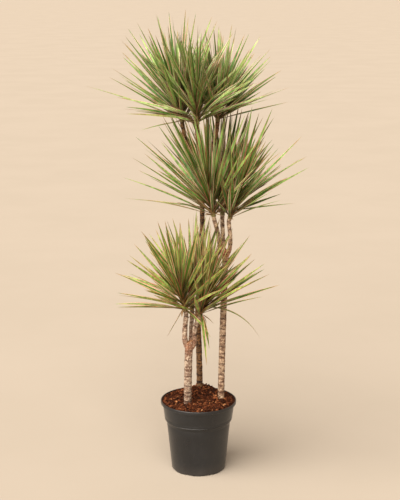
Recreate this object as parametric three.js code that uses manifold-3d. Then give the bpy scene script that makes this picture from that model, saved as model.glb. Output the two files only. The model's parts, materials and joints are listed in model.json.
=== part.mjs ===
// A potted dracaena marginata: three bare canes of different heights stand in a nursery pot of
// bark and peat, and each cane carries three leafy heads of long narrow leaves on short shoots.
// Millimetres and degrees, +Z up, -Y towards the viewer, origin in the middle of the pot's foot.

import * as THREE from "three";
import { mergeVertices } from "three/addons/utils/BufferGeometryUtils.js";
import Module from "manifold-3d";

const wasm = await Module();
wasm.setup();

// ---------------------------------------------------------------- driving dimensions

const GAP = 0.3; // clearance between neighbouring pieces

const POT = {
  sides: 32,
  height: 227.5,
  wall: 2.2,
  footRadius: 85.5,
  footBevel: 1.6,
  footRingWidth: 7,
  bodyTop: { radius: 100.4, z: 150 }, // where the tapered body ends
  stepMiddle: { radius: 104.6, z: 158.5 }, // the rounded step between body and collar
  collarFoot: { radius: 107.4, z: 167 }, // where the wider collar starts
  collarTop: { radius: 114, z: 217 },
  lipRadius: 120,
  lipRound: 2,
  lipThickness: 3.4, // the wall turns outwards into the lip
  floorUnderside: 5,
  floorTop: 7.5,
  hub: { radius: 24, sides: 16 }, // the middle foot, flush with the outer one
  arches: { count: 8, width: 35, height: 3.4, firstAngle: 22.5 },
  drains: { count: 4, radius: 7, ring: 54, sides: 5 },
};

const SOIL = {
  sides: 32,
  wallGap: 0.42,
  holeGap: 0.45, // between a cane and the hole that it stands in
  edgeHeight: 224.5,
  rings: [107, 90, 71, 50, 28], // radii of the rings that shape the top
  mound: { x: 12, y: 80, height: 27, spread: 48 },
  lumps: { height: 1.9, widths: [7.4, 8.1, 4.6, 5.5] }, // the last two lie diagonally
};

const CANE_FOOT = 72; // how far above the ground the canes' buried ends are
const PLAIN_ABOVE_SOIL = 8;
const CANE_SIDES = 8;
const CUT_DEPTH = 1.5; // what lies this close below a cane's top leans with its cut
const SCAR = { pitch: 24, swell: 0.045, crescent: 0.035 }; // rings left by old leaves
const SHOOT_SIDES = 7;
const SHOOT_STEPS = 6;
const SHOOT_STRAIGHT = 14; // length of a shoot's straight end

const LEAF = {
  widest: 11.5,
  root: 4,
  keel: 2.1,
  rootDepth: 0.55, // where a leaf starts, as a share of the stem's radius there
  taper: { start: 1.9, power: 0.8 }, // how the outer part narrows to the tip
  // Where along a leaf its corners lie, for leaves that bend less than so many degrees.
  stations: [
    { bend: 9, shares: [0, 0.52, 1] },
    { bend: 45, shares: [0, 0.34, 0.7, 1] },
    { bend: 180, shares: [0, 0.18, 0.38, 0.6, 0.82, 1] },
  ],
};
const STEM = { length: 92, baseRadius: 8.4, tipRadius: 6, sides: 6 };
const GOLDEN_ANGLE = 137.508;

// The spiral of leaves round a stem, from the oldest to the youngest. Ranges are [low, high].
const SPIRAL = {
  lowest: 0.05, // place of the oldest leaf, as a share of the stem's length
  rise: 0.92, // what the other leaves are spread over
  crowding: 1.25, // above 1, young leaves stand further apart than old ones
  opening: 0.86, // below 1, most leaves lean out far
  oldBend: 11,
  youngBend: 2,
  strayTurn: [-7, 7],
  strayAngle: [-5, 5],
  strayLength: [0.9, 1.07],
  strayBend: [0.4, 1.5],
  strayRoll: [-22, 22],
  strayWidth: [0.88, 1.06],
  shortest: 0.82, // length of the oldest and youngest leaves, as a share of the head's
  bulge: 0.2, // by how much those between are longer
};
const SWELL_FROM = 0.2; // where in half a wave that bulge starts, and how far it runs
const SWELL_RUN = 0.72;

const BLADE_CLEARANCE = 4.6; // between the edge and keel lines of leaves on different heads
const CANE_CLEARANCE = 3.4; // between a leaf's lines and the bark of a cane or shoot
const OWN_SHOOT_FREE = 2; // stretches of a head's own shoot that its leaf roots may be near
const TRIES = 90; // places tried for a leaf before it is left out
const TRY_STEP = 3.4; // degrees by which the places tried spread round the first one
const LEAST_SPREAD = 0.25; // keeps the turns tried for an upright leaf from growing too large
const CANE_STRETCHES = 12; // straight stretches that stand for a cane's or shoot's line
const SHOOT_STRETCHES = 9;

// Each cane: [x, y] of its middle at even heights from its buried foot to its sawn top, its radii
// at both ends, the slope of the cut, and its three shoots, which end where their heads begin,
// tilted by tilt towards tiltTurn.
const CANES = [
  {
    name: "cane_short",
    top: 429,
    middle: [[-34, -28], [-34, -28], [-34, -28], [-33.2, -29], [-31.8, -30], [-29, -30]],
    radii: [12.6, 12.2],
    cutSlope: 22,
    shoots: [
      { radii: [9, 6.8], tilt: 13, tiltTurn: 205,
        path: [[-29, -30, 402], [-41, -32, 428], [-42, -33, 470], [-41, -35, 530]] },
      { radii: [8, 6.8], tilt: 15, tiltTurn: -18,
        path: [[-29, -30, 398], [-13.5, -27, 424], [-11, -26, 470], [4, -28, 512]] },
      { radii: [7, 6.8], tilt: 12, tiltTurn: 95,
        path: [[-29, -30, 404], [-24, -12, 428], [-22, -4, 470], [-20, 8, 522]] },
    ],
  },
  {
    name: "cane_medium",
    top: 708,
    middle: [
      [72, 15], [72, 15], [72.4, 16], [74.3, 20.5], [76.6, 24.5], [79.2, 27], [82, 28.6], [85, 30],
    ],
    radii: [10.9, 9.6],
    cutSlope: 18,
    shoots: [
      { radii: [6.6, 6.6], tilt: 12, tiltTurn: 195,
        path: [[85, 30, 684], [68, 24, 716], [60, 21, 765], [47, 16, 818]] },
      { radii: [6.6, 6.6], tilt: 13, tiltTurn: -20,
        path: [[85, 30, 680], [97, 26, 712], [99, 25, 750], [97, 24, 810]] },
      { radii: [6.6, 6.6], tilt: 11, tiltTurn: 80,
        path: [[85, 30, 686], [79, 44, 716], [76, 52, 760], [75, 62, 812]] },
    ],
  },
  {
    name: "cane_tall",
    top: 1003,
    middle: [
      [3.6, 70], [3.6, 70], [3.4, 70], [1.2, 70], [-2, 70],
      [3, 70], [10.4, 70], [12, 70], [10.4, 70], [8, 70],
    ],
    radii: [10.8, 6.8],
    cutSlope: -20,
    shoots: [
      { radii: [6.4, 6.6], tilt: 8, tiltTurn: 178,
        path: [[8, 70, 975], [-14, 70, 1008], [-38, 68, 1045], [-50, 66, 1104]] },
      { radii: [6.4, 6.6], tilt: 4, tiltTurn: 5,
        path: [[8, 70, 970], [32, 72, 1004], [50, 75, 1046], [59, 76, 1104]] },
      { radii: [6.4, 6.6], tilt: 8, tiltTurn: 265,
        path: [[8, 70, 980], [4, 52, 1006], [-2, 36, 1048], [-4, 28, 1102]] },
    ],
  },
];

// Each head: the shoot that it grows on, and its leaves. oldest and youngest are
// the leaves' angles from the stem, turn is where the spiral starts. singled gives the few
// leaves that stand out of the crown: [height on the stem, turn, angle, length, bend].
const HEADS = [
  {
    name: "leaves_low_left", cane: 0, shoot: 0, count: 42, length: 225,
    oldest: 68, youngest: 2, turn: 43, seed: 556,
    singled: [
      [0.1, 183, 138, 108, 8], [0.05, 310, 112, 130, 26], [0.12, 179, 74, 207, 8],
      [0.2, 177, 65, 207, 5],
    ],
  },
  {
    name: "leaves_low_right", cane: 0, shoot: 1, count: 41, length: 234,
    oldest: 51, youngest: 4, turn: 146, seed: 406,
    singled: [
      [0.14, 277, 96, 212, 60], [0.32, -12, 64, 218, 78], [0.25, 3, 56, 251, 4],
      [0.3, 7, 42, 226, 3], [0.35, 3, 47.5, 230, 3],
    ],
  },
  {
    name: "leaves_low_back", cane: 0, shoot: 2, count: 42, length: 249,
    oldest: 59, youngest: 6, turn: 73, seed: 601,
    singled: [],
  },
  {
    name: "leaves_mid_left", cane: 1, shoot: 0, count: 43, length: 292,
    oldest: 55, youngest: 5, turn: 346, seed: 617,
    singled: [
      [0.3, 181, 69, 268, 5], [0.5, 249, 3.4, 291, 1], [0.62, 321, 3, 283, 1],
      [0.72, 332, 7.5, 266, 2], [0.8, 355, 12, 265, 2], [0.66, 191, 5, 262, 2],
    ],
  },
  {
    name: "leaves_mid_right", cane: 1, shoot: 1, count: 38, length: 220,
    oldest: 50, youngest: 8, turn: 253, seed: 38,
    singled: [
      [0.3, 0, 69, 196, 4], [0.25, 5, 57, 160, 2], [0.3, 0, 46, 269, 3], [0.5, 6, 31, 295, 3],
      [0.7, 23, 10, 300, 1], [0.8, 40, 3.3, 266, 1], [0.85, 118, 3.6, 277, 1],
    ],
  },
  {
    name: "leaves_mid_back", cane: 1, shoot: 2, count: 42, length: 298,
    oldest: 51, youngest: 9, turn: 86, seed: 797,
    singled: [],
  },
  {
    name: "leaves_top_left", cane: 2, shoot: 0, count: 45, length: 273,
    oldest: 53, youngest: 7, turn: 343, seed: 894,
    singled: [[0.14, 182, 59, 306, 9], [0.04, 200, 88, 130, 10]],
  },
  {
    name: "leaves_top_right", cane: 2, shoot: 1, count: 45, length: 228,
    oldest: 57, youngest: 7, turn: 68, seed: 275,
    singled: [[0.25, 0, 64, 232, 2], [0.1, 0, 71.5, 218, 2]],
  },
  {
    name: "leaves_top_front", cane: 2, shoot: 2, count: 45, length: 243,
    oldest: 70, youngest: 5, turn: 132, seed: 563,
    singled: [],
  },
];

const FINISHES = {
  pot: { colour: 0x3b3738, roughness: 0.42 },
  soil: { colour: 0x5a3424, roughness: 0.95 },
  cane_short: { colour: 0xb7a796, roughness: 0.85 },
  cane_medium: { colour: 0x9d8a75, roughness: 0.85 },
  cane_tall: { colour: 0x5b4436, roughness: 0.85 },
  crowns: [
    { colour: 0x8a9058, roughness: 0.6 },
    { colour: 0x7f8f58, roughness: 0.6 },
    { colour: 0x75875a, roughness: 0.6 },
  ],
};

// ---------------------------------------------------------------- geometry helpers

const radians = THREE.MathUtils.degToRad;
const mix = THREE.MathUtils.lerp;

/** The closed three.js geometry as a solid that can be joined and cut. */
function toSolid(geometry) {
  const bare = geometry.clone();
  bare.deleteAttribute("normal");
  bare.deleteAttribute("uv");
  const merged = mergeVertices(bare, 1e-4);
  return new wasm.Manifold(new wasm.Mesh({
    numProp: 3,
    vertProperties: new Float32Array(merged.attributes.position.array),
    triVerts: new Uint32Array(merged.index.array),
  }));
}

/** The solid's main body, without the scraps and the sealed hollows that joining leaves. */
function mainBody(solid) {
  const bodies = solid.decompose();
  return bodies.reduce((best, body) => (body.volume() > best.volume() ? body : best));
}

/** A solid as a named mesh of one finish. */
function toMesh(name, solid, { colour, roughness }) {
  const made = mainBody(solid).getMesh();
  const geometry = new THREE.BufferGeometry();
  geometry.setAttribute("position", new THREE.BufferAttribute(made.vertProperties, 3));
  geometry.setIndex(new THREE.BufferAttribute(made.triVerts, 1));
  geometry.computeVertexNormals();
  const material = new THREE.MeshStandardMaterial({ color: colour, roughness, metalness: 0 });
  const mesh = new THREE.Mesh(geometry, material);
  mesh.name = name;
  return mesh;
}

/** A profile of [radius, height] points turned round the Z axis. */
function turned(profile, sides) {
  const points = profile.map(([radius, height]) => new THREE.Vector2(radius, height));
  return new THREE.LatheGeometry(points, sides).rotateX(Math.PI / 2);
}

/** A smooth line through points given as [x, y, z]. */
function smoothLine(points) {
  const knots = points.map((point) => new THREE.Vector3(...point));
  return new THREE.CatmullRomCurve3(knots, false, "catmullrom", 0.5);
}

/** Two directions square to a line that runs mostly upwards: one near +X, the other near -Y. */
function crossFrame(direction) {
  const side = new THREE.Vector3(1, 0, 0).addScaledVector(direction, -direction.x).normalize();
  return [side, new THREE.Vector3().crossVectors(side, direction)];
}

/** A rod along a line. radiusAt gives its radius at a share of the line and an angle round it. */
function rod(line, radiusAt, sides, steps) {
  const shape = new THREE.CylinderGeometry(1, 1, 1, sides, steps);
  const places = shape.attributes.position;
  for (let i = 0; i < places.count; i += 1) {
    const share = places.getY(i) + 0.5;
    const angle = Math.atan2(places.getZ(i), places.getX(i));
    const reach = Math.hypot(places.getX(i), places.getZ(i)) * radiusAt(share, angle);
    const [side, back] = crossFrame(line.getTangent(share));
    const place = line.getPoint(share);
    place.addScaledVector(side, reach * Math.cos(angle));
    place.addScaledVector(back, reach * Math.sin(angle));
    places.setXYZ(i, place.x, place.y, place.z);
  }
  return shape;
}

/** Repeatable random numbers from 0 to 1, the same for the same seed. */
function seeded(seed) {
  let state = seed >>> 0;
  return () => {
    state = (state + 0x6d2b79f5) >>> 0;
    let mixed = Math.imul(state ^ (state >>> 15), 1 | state);
    mixed = (mixed + Math.imul(mixed ^ (mixed >>> 7), 61 | mixed)) ^ mixed;
    return ((mixed ^ (mixed >>> 14)) >>> 0) / 4294967296;
  };
}

// ---------------------------------------------------------------- pot

/** The outside radius of the pot's tapered body at a height. */
function bodyRadius(z) {
  return mix(POT.footRadius, POT.bodyTop.radius, z / POT.bodyTop.z);
}

/** The pot's wall, lip and floor, as a profile from the floor's middle out and back in. */
function potProfile() {
  const { height, lipRadius, lipRound, collarTop, collarFoot, stepMiddle, bodyTop, wall } = POT;
  const ringInside = POT.footRadius - POT.footRingWidth;
  const lipInside = lipRadius - POT.lipThickness;
  return [
    [0, POT.floorUnderside],
    [ringInside, POT.floorUnderside],
    [ringInside, 0],
    [POT.footRadius - POT.footBevel, 0],
    [bodyRadius(POT.footBevel), POT.footBevel],
    [bodyTop.radius, bodyTop.z],
    [stepMiddle.radius, stepMiddle.z],
    [collarFoot.radius, collarFoot.z],
    [collarTop.radius, collarTop.z],
    [lipRadius - lipRound, collarTop.z],
    [lipRadius, collarTop.z + lipRound],
    [lipRadius, height - lipRound],
    [lipRadius - lipRound, height],
    [lipInside, height],
    [lipInside, collarTop.z + wall],
    [collarTop.radius - wall, collarTop.z - wall],
    [collarFoot.radius - wall, collarFoot.z],
    [bodyTop.radius - wall, bodyTop.z],
    [bodyRadius(POT.floorTop) - wall, POT.floorTop],
    [0, POT.floorTop],
  ];
}

/** One shallow arch through the foot ring, open downwards, centred at an angle. */
function archCutter(angle) {
  const { width, height } = POT.arches;
  const below = 2;
  const outline = new THREE.Shape();
  outline.moveTo(-width / 2, -below);
  outline.lineTo(width / 2, -below);
  outline.lineTo(width / 2, 0);
  outline.lineTo(0, height);
  outline.lineTo(-width / 2, 0);
  const depth = POT.footRingWidth * 2;
  const cutter = new THREE.ExtrudeGeometry(outline, { depth, bevelEnabled: false });
  cutter.rotateX(Math.PI / 2).translate(0, POT.footRadius + POT.footRingWidth / 2, 0);
  return cutter.rotateZ(radians(angle - 90));
}

function makePot() {
  const { arches, drains, hub } = POT;
  let pot = toSolid(turned(potProfile(), POT.sides));
  const hubHeight = POT.floorUnderside + 1;
  const hubShape = new THREE.CylinderGeometry(hub.radius, hub.radius, hubHeight, hub.sides);
  pot = pot.add(toSolid(hubShape.rotateX(Math.PI / 2).translate(0, 0, hubHeight / 2)));
  for (let i = 0; i < arches.count; i += 1) {
    const angle = arches.firstAngle + (i * 360) / arches.count;
    pot = pot.subtract(toSolid(archCutter(angle)));
  }
  for (let i = 0; i < drains.count; i += 1) {
    const angle = radians((i * 360) / drains.count);
    const hole = new THREE.CylinderGeometry(drains.radius, drains.radius, POT.floorTop * 2, drains.sides);
    hole.rotateX(Math.PI / 2);
    hole.translate(drains.ring * Math.cos(angle), drains.ring * Math.sin(angle), POT.floorTop);
    pot = pot.subtract(toSolid(hole));
  }
  return toMesh("pot", pot, FINISHES.pot);
}

// ---------------------------------------------------------------- soil

/** Height of the soil's top at a place: level at the wall, mounded round the tall cane, lumpy. */
function soilHeight(x, y) {
  const { edgeHeight, mound, lumps } = SOIL;
  const far = Math.hypot(x - mound.x, y - mound.y) / mound.spread;
  const inside = 1 - (Math.hypot(x, y) / POT.lipRadius) ** 4;
  const [across, deep, rising, falling] = lumps.widths;
  const bumps = Math.sin(x / across + 1) * Math.sin(y / deep + 2)
    + Math.sin((x + y) / rising) * Math.sin((x - y) / falling);
  const rise = mound.height * Math.exp(-far * far) + lumps.height * bumps;
  return edgeHeight + rise * Math.max(inside, 0);
}

/** The root ball: the inside of the pot with a little room all round, and a lumpy top. */
function soilGeometry() {
  const { wall, bodyTop, collarFoot, collarTop, lipRadius, lipThickness, floorTop } = POT;
  const room = SOIL.wallGap;
  const inset = wall + room;
  const bottom = floorTop + GAP;
  const top = SOIL.edgeHeight;
  const profile = [
    [0, bottom],
    [bodyRadius(bottom) - inset, bottom],
    [bodyTop.radius - inset, bodyTop.z + room],
    [collarFoot.radius - inset, collarFoot.z + room],
    [collarTop.radius - inset, collarTop.z - wall + room],
    [lipRadius - lipThickness - room, collarTop.z + wall + room],
    [lipRadius - lipThickness - room, top],
    ...SOIL.rings.map((radius) => [radius, top]),
    [0, top],
  ];
  const shape = turned(profile, SOIL.sides);
  const places = shape.attributes.position;
  for (let i = 0; i < places.count; i += 1) {
    const [x, y] = [places.getX(i), places.getY(i)];
    const onTop = places.getZ(i) > top - GAP && Math.hypot(x, y) < SOIL.rings[0] + GAP;
    if (onTop) places.setZ(i, soilHeight(x, y));
  }
  return shape;
}

/** The plain hole that a cane stands in: its buried length with a little room all round. */
function caneHole(cane) {
  const line = caneLine(cane);
  const [x, y, z] = line.getPoint(0).toArray();
  const hole = smoothLine([[x, y, z - GAP], line.getPoint(plainShare(cane)).toArray()]);
  return toSolid(rod(hole, () => cane.radii[0] + SOIL.holeGap, CANE_SIDES, 1));
}

function makeSoil() {
  const holes = CANES.map(caneHole);
  const soil = holes.reduce((solid, hole) => solid.subtract(hole), toSolid(soilGeometry()));
  return toMesh("soil", soil, FINISHES.soil);
}

// ---------------------------------------------------------------- canes

/** The line of a cane's middle, from its buried foot to its sawn top. */
function caneLine({ middle, top }) {
  return smoothLine(middle.map(([x, y], i) => [x, y, mix(CANE_FOOT, top, i / (middle.length - 1))]));
}

/** The share of a cane's length that is plain: what is buried, and a little above the soil. */
function plainShare({ middle, top }) {
  const [x, y] = middle[1];
  const ground = soilHeight(x, y) + PLAIN_ABOVE_SOIL;
  return (ground - CANE_FOOT) / (top - CANE_FOOT);
}

/** A cane's radius: tapered, plain where it is buried, ringed by leaf scars above the soil. */
function caneRadius(cane, steps) {
  const plain = plainShare(cane);
  return (share, angle) => {
    const radius = mix(cane.radii[0], cane.radii[1], Math.max(share - plain, 0) / (1 - plain));
    if (share <= plain) return radius;
    const ring = Math.round(share * steps);
    const crescent = Math.cos(angle - radians(ring * GOLDEN_ANGLE));
    return radius * (1 + (ring % 2 ? SCAR.swell : -SCAR.swell) / 2 + SCAR.crescent * crescent);
  };
}

/** Leans the sawn top of a cane over by its slope. */
function slopeTop(shape, { middle, top, cutSlope }) {
  const places = shape.attributes.position;
  const slope = Math.tan(radians(cutSlope));
  for (let i = 0; i < places.count; i += 1) {
    const rise = (places.getX(i) - middle.at(-1)[0]) * slope;
    if (places.getZ(i) > top - CUT_DEPTH) places.setZ(i, top + rise);
  }
  return shape;
}

/** The direction in which a shoot ends, and its leafy head goes on. */
function shootEndDirection(shoot) {
  const turn = radians(shoot.tiltTurn);
  const tilt = radians(shoot.tilt);
  return new THREE.Vector3(
    Math.sin(tilt) * Math.cos(turn), Math.sin(tilt) * Math.sin(turn), Math.cos(tilt),
  );
}

/** The line of a shoot's middle, straight at its end. */
function shootLine(shoot) {
  const end = new THREE.Vector3(...shoot.path.at(-1));
  const bend = end.clone().addScaledVector(shootEndDirection(shoot), -SHOOT_STRAIGHT);
  return smoothLine([...shoot.path.slice(0, -1), bend.toArray(), end.toArray()]);
}

function makeCane(cane) {
  const line = caneLine(cane);
  const steps = Math.round(line.getLength() / SCAR.pitch);
  const trunk = toSolid(slopeTop(rod(line, caneRadius(cane, steps), CANE_SIDES, steps), cane));
  const shoots = cane.shoots.map((shoot) => {
    const radiusAt = (share) => mix(shoot.radii[0], shoot.radii[1], share);
    return toSolid(rod(shootLine(shoot), radiusAt, SHOOT_SIDES, SHOOT_STEPS));
  });
  const whole = shoots.reduce((solid, shoot) => solid.add(shoot), trunk);
  return toMesh(cane.name, whole, FINISHES[cane.name]);
}

// ---------------------------------------------------------------- leaves

/** A head's place: where its stem starts, the stem's direction, and two directions square to it. */
function headFrame(head) {
  const shoot = CANES[head.cane].shoots[head.shoot];
  const axis = shootEndDirection(shoot);
  const [right, back] = crossFrame(axis);
  return { base: new THREE.Vector3(...shoot.path.at(-1)), axis, right, back: back.negate() };
}

/** A leaf's corners at each of its stations, from its height on the stem, its turn round it, its
 * angle from it, its length and how far it bends down under its own weight. */
function layLeaf(frame, { height, turn, angle, length, bend, roll, width }) {
  const lean = radians(angle);
  const round = frame.right.clone().multiplyScalar(Math.cos(radians(turn)))
    .addScaledVector(frame.back, Math.sin(radians(turn)));
  const along = frame.axis.clone().multiplyScalar(Math.cos(lean)).addScaledVector(round, Math.sin(lean));
  const under = round.clone().multiplyScalar(Math.cos(lean)).addScaledVector(frame.axis, -Math.sin(lean));
  const side = new THREE.Vector3().crossVectors(along, under).applyAxisAngle(along, radians(roll));
  const rootReach = LEAF.rootDepth * mix(STEM.baseRadius, STEM.tipRadius, height);
  const root = frame.base.clone().addScaledVector(frame.axis, height * STEM.length)
    .addScaledVector(round, rootReach);
  const level = Math.hypot(along.x, along.y);
  const arc = Math.max(radians(bend) * level, 1e-4);
  const down = along.clone().multiplyScalar(along.z).add(new THREE.Vector3(0, 0, -1)).normalize();
  return stationShares(bend).map((share) => {
    const middle = root.clone()
      .addScaledVector(along, (length * Math.sin(arc * share)) / arc)
      .addScaledVector(down, (length * (1 - Math.cos(arc * share))) / arc);
    const tangent = along.clone().multiplyScalar(Math.cos(arc * share))
      .addScaledVector(down, Math.sin(arc * share));
    const keelWay = new THREE.Vector3().crossVectors(side, tangent).normalize();
    const half = leafHalfWidth(share, width);
    return {
      left: middle.clone().addScaledVector(side, -half),
      right: middle.clone().addScaledVector(side, half),
      keel: middle.clone().addScaledVector(keelWay, share < 1 ? LEAF.keel : 0),
    };
  });
}

/** The shares of its length at which a leaf has corners: more where it bends more. */
function stationShares(bend) {
  return LEAF.stations.find((choice) => bend <= choice.bend).shares;
}

/** Half a leaf's width at a share of its length: narrow at the root, even, then tapered to a point. */
function leafHalfWidth(share, width) {
  if (share === 0) return LEAF.root / 2;
  return (width / 2) * Math.min(1, LEAF.taper.start * (1 - share) ** LEAF.taper.power);
}

/** The shortest distance between two straight stretches. */
function stretchGap([a, b], [c, d]) {
  const u = new THREE.Vector3().subVectors(b, a);
  const v = new THREE.Vector3().subVectors(d, c);
  const w = new THREE.Vector3().subVectors(a, c);
  const [uu, uv, vv, uw, vw] = [u.dot(u), u.dot(v), v.dot(v), u.dot(w), v.dot(w)];
  const slant = uu * vv - uv * uv;
  let s = slant > 1e-9 ? THREE.MathUtils.clamp((uv * vw - vv * uw) / slant, 0, 1) : 0;
  let t = (uv * s + vw) / vv;
  if (t < 0 || t > 1) {
    t = THREE.MathUtils.clamp(t, 0, 1);
    s = THREE.MathUtils.clamp((uv * t - uw) / uu, 0, 1);
  }
  return w.addScaledVector(u, s).addScaledVector(v, -t).length();
}

/** The straight stretches of a leaf's edges and keel, each with its middle and half length. */
function leafStretches(stations) {
  const stretches = [];
  for (const line of ["left", "right", "keel"]) {
    for (let i = 1; i < stations.length; i += 1) {
      stretches.push(stretch(stations[i - 1][line], stations[i][line]));
    }
  }
  return stretches;
}

function stretch(start, end) {
  const ends = [start, end];
  ends.middle = new THREE.Vector3().lerpVectors(start, end, 0.5);
  ends.half = start.distanceTo(end) / 2;
  return ends;
}

/** Whether every stretch of one set stays further than a distance from every stretch of another. */
function apart(some, others, distance) {
  return some.every((one) => others.every((other) => {
    if (one.middle.distanceTo(other.middle) > one.half + other.half + distance) return true;
    return stretchGap(one, other) > distance;
  }));
}

/** The bark that leaves keep clear of: canes, shoots and the stems of the heads. */
function barkStretches() {
  const bark = [];
  const addLine = (points, radius, shoot) => {
    const stretches = points.slice(1).map((point, i) => stretch(points[i], point));
    bark.push({ stretches, radius, shoot });
  };
  CANES.forEach((cane, caneIndex) => {
    addLine(caneLine(cane).getPoints(CANE_STRETCHES), cane.radii[0] * (1 + 2 * SCAR.crescent), null);
    cane.shoots.forEach((shoot, shootIndex) => {
      const points = shootLine(shoot).getPoints(SHOOT_STRETCHES);
      addLine(points, shoot.radii[0], `${caneIndex}.${shootIndex}`);
    });
  });
  return bark;
}

/** Leaves are laid one after another, each in the place nearest its own where it is clear. */
class Crowns {
  constructor() {
    this.bark = barkStretches();
    this.laid = HEADS.map(() => []);
    this.frames = HEADS.map(headFrame);
  }

  /** Whether a leaf of a head clears the bark and the leaves and stems of all other heads. */
  isClear(headIndex, stretches) {
    const head = HEADS[headIndex];
    const own = `${head.cane}.${head.shoot}`;
    const clearOfBark = this.bark.every(({ stretches: bark, radius, shoot }) => {
      const near = shoot === own ? bark.slice(0, -OWN_SHOOT_FREE) : bark;
      return apart(stretches, near, radius + CANE_CLEARANCE);
    });
    if (!clearOfBark) return false;
    return HEADS.every((other, otherIndex) => {
      if (otherIndex === headIndex) return true;
      const { base, axis } = this.frames[otherIndex];
      const stem = [stretch(base, base.clone().addScaledVector(axis, STEM.length))];
      return apart(stretches, stem, STEM.baseRadius + CANE_CLEARANCE)
        && this.laid[otherIndex].every((leaf) => apart(stretches, leaf.stretches, BLADE_CLEARANCE));
    });
  }

  /** Lays a leaf at its own place or, where that is taken, at the nearest free one, if any. */
  lay(headIndex, leaf) {
    for (let attempt = 0; attempt < TRIES; attempt += 1) {
      const reach = TRY_STEP * Math.sqrt(attempt);
      const way = radians(attempt * GOLDEN_ANGLE);
      const spread = Math.max(Math.sin(radians(leaf.angle)), LEAST_SPREAD);
      const placed = {
        ...leaf,
        turn: leaf.turn + (reach * Math.sin(way)) / spread,
        angle: Math.max(leaf.angle + reach * Math.cos(way), 1),
      };
      const stations = layLeaf(this.frames[headIndex], placed);
      const stretches = leafStretches(stations);
      if (this.isClear(headIndex, stretches)) {
        this.laid[headIndex].push({ stations, stretches });
        return;
      }
    }
  }

  /** Lays the singled-out leaves of every head first, then each head's spiral from below. */
  layAll() {
    HEADS.forEach((head, headIndex) => {
      for (const [height, turn, angle, length, bend] of head.singled) {
        this.lay(headIndex, { height, turn, angle, length, bend, roll: 0, width: LEAF.widest });
      }
    });
    HEADS.forEach((head, headIndex) => {
      for (let i = 0; i < head.count; i += 1) this.lay(headIndex, spiralLeaf(head, i));
    });
  }
}

/** The leaf that the spiral gives at a place counted from the oldest, with its own small chances. */
function spiralLeaf(head, index) {
  const chance = seeded(head.seed * 1000 + index);
  const between = ([low, high]) => mix(low, high, chance());
  const youth = (index + 0.5) / head.count; // near 0 for the oldest leaf, near 1 for the youngest
  const opened = (1 - youth) ** SPIRAL.opening;
  const swell = Math.sin(Math.PI * (SWELL_FROM + SWELL_RUN * youth));
  return {
    angle: mix(head.youngest, head.oldest, opened) + between(SPIRAL.strayAngle),
    height: SPIRAL.lowest + SPIRAL.rise * youth ** SPIRAL.crowding,
    turn: head.turn + index * GOLDEN_ANGLE + between(SPIRAL.strayTurn),
    length: head.length * (SPIRAL.shortest + SPIRAL.bulge * swell) * between(SPIRAL.strayLength),
    bend: mix(SPIRAL.oldBend, SPIRAL.youngBend, youth) * between(SPIRAL.strayBend),
    roll: between(SPIRAL.strayRoll),
    width: LEAF.widest * between(SPIRAL.strayWidth),
  };
}

/** A leaf's blade: flat above, keeled below, narrowing to a point. It is a three-sided cone
 * whose rings are moved to the leaf's stations. */
function bladeGeometry(stations) {
  const steps = stations.length - 1;
  const shape = new THREE.ConeGeometry(1, 1, 3, steps);
  const places = shape.attributes.position;
  for (let i = 0; i < places.count; i += 1) {
    const share = places.getY(i) + 0.5;
    const { left, right, keel } = stations[Math.round(share * steps)];
    const reach = Math.max(1 - share, 1e-6);
    const across = places.getX(i) / reach / Math.sin(radians(120)); // -1 left, 1 right
    const depth = (places.getZ(i) / reach + 0.5) / 1.5; // 0 on the flat side, 1 at the keel
    const top = new THREE.Vector3().lerpVectors(left, right, (1 + across) / 2);
    const place = share > 1 - 1e-6 ? left : top.lerp(keel, Math.min(Math.max(depth, 0), 1));
    places.setXYZ(i, place.x, place.y, place.z);
  }
  return shape;
}

/** The leafy end of a shoot, which the leaves stand out of. */
function stemSolid({ base, axis }) {
  const ends = [GAP, STEM.length].map((rise) => base.clone().addScaledVector(axis, rise).toArray());
  const radiusAt = (share) => mix(STEM.baseRadius, STEM.tipRadius, share);
  return toSolid(rod(smoothLine(ends), radiusAt, STEM.sides, 2));
}

function makeHeads() {
  const crowns = new Crowns();
  crowns.layAll();
  return HEADS.map((head, headIndex) => {
    const blades = crowns.laid[headIndex].map(({ stations }) => toSolid(bladeGeometry(stations)));
    const whole = wasm.Manifold.union([stemSolid(crowns.frames[headIndex]), ...blades]);
    return toMesh(head.name, whole, FINISHES.crowns[head.cane]);
  });
}

// ---------------------------------------------------------------- the plant

const plant = new THREE.Group();
plant.add(makePot(), makeSoil(), ...CANES.map(makeCane), ...makeHeads());

export default plant;
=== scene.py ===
"""A potted dracaena marginata: three bare canes in a nursery pot, each with three leafy heads.

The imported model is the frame. The scene dresses it: a finely turned pot, a bed of bark chips, canes
ringed by leaf scars, and every leaf as a thin channelled blade in its own place. Sizes are written in
millimetres and degrees, and each mesh is made in metres in the frame's own axes: +Z up, -Y towards
the viewer, origin in the middle of the pot's foot.
"""

from __future__ import annotations

import json
import logging
import math
from collections.abc import Callable, Iterable, Sequence
from dataclasses import dataclass, field, replace
from enum import Enum

import bpy
import numpy as np
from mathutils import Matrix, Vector, noise

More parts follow.
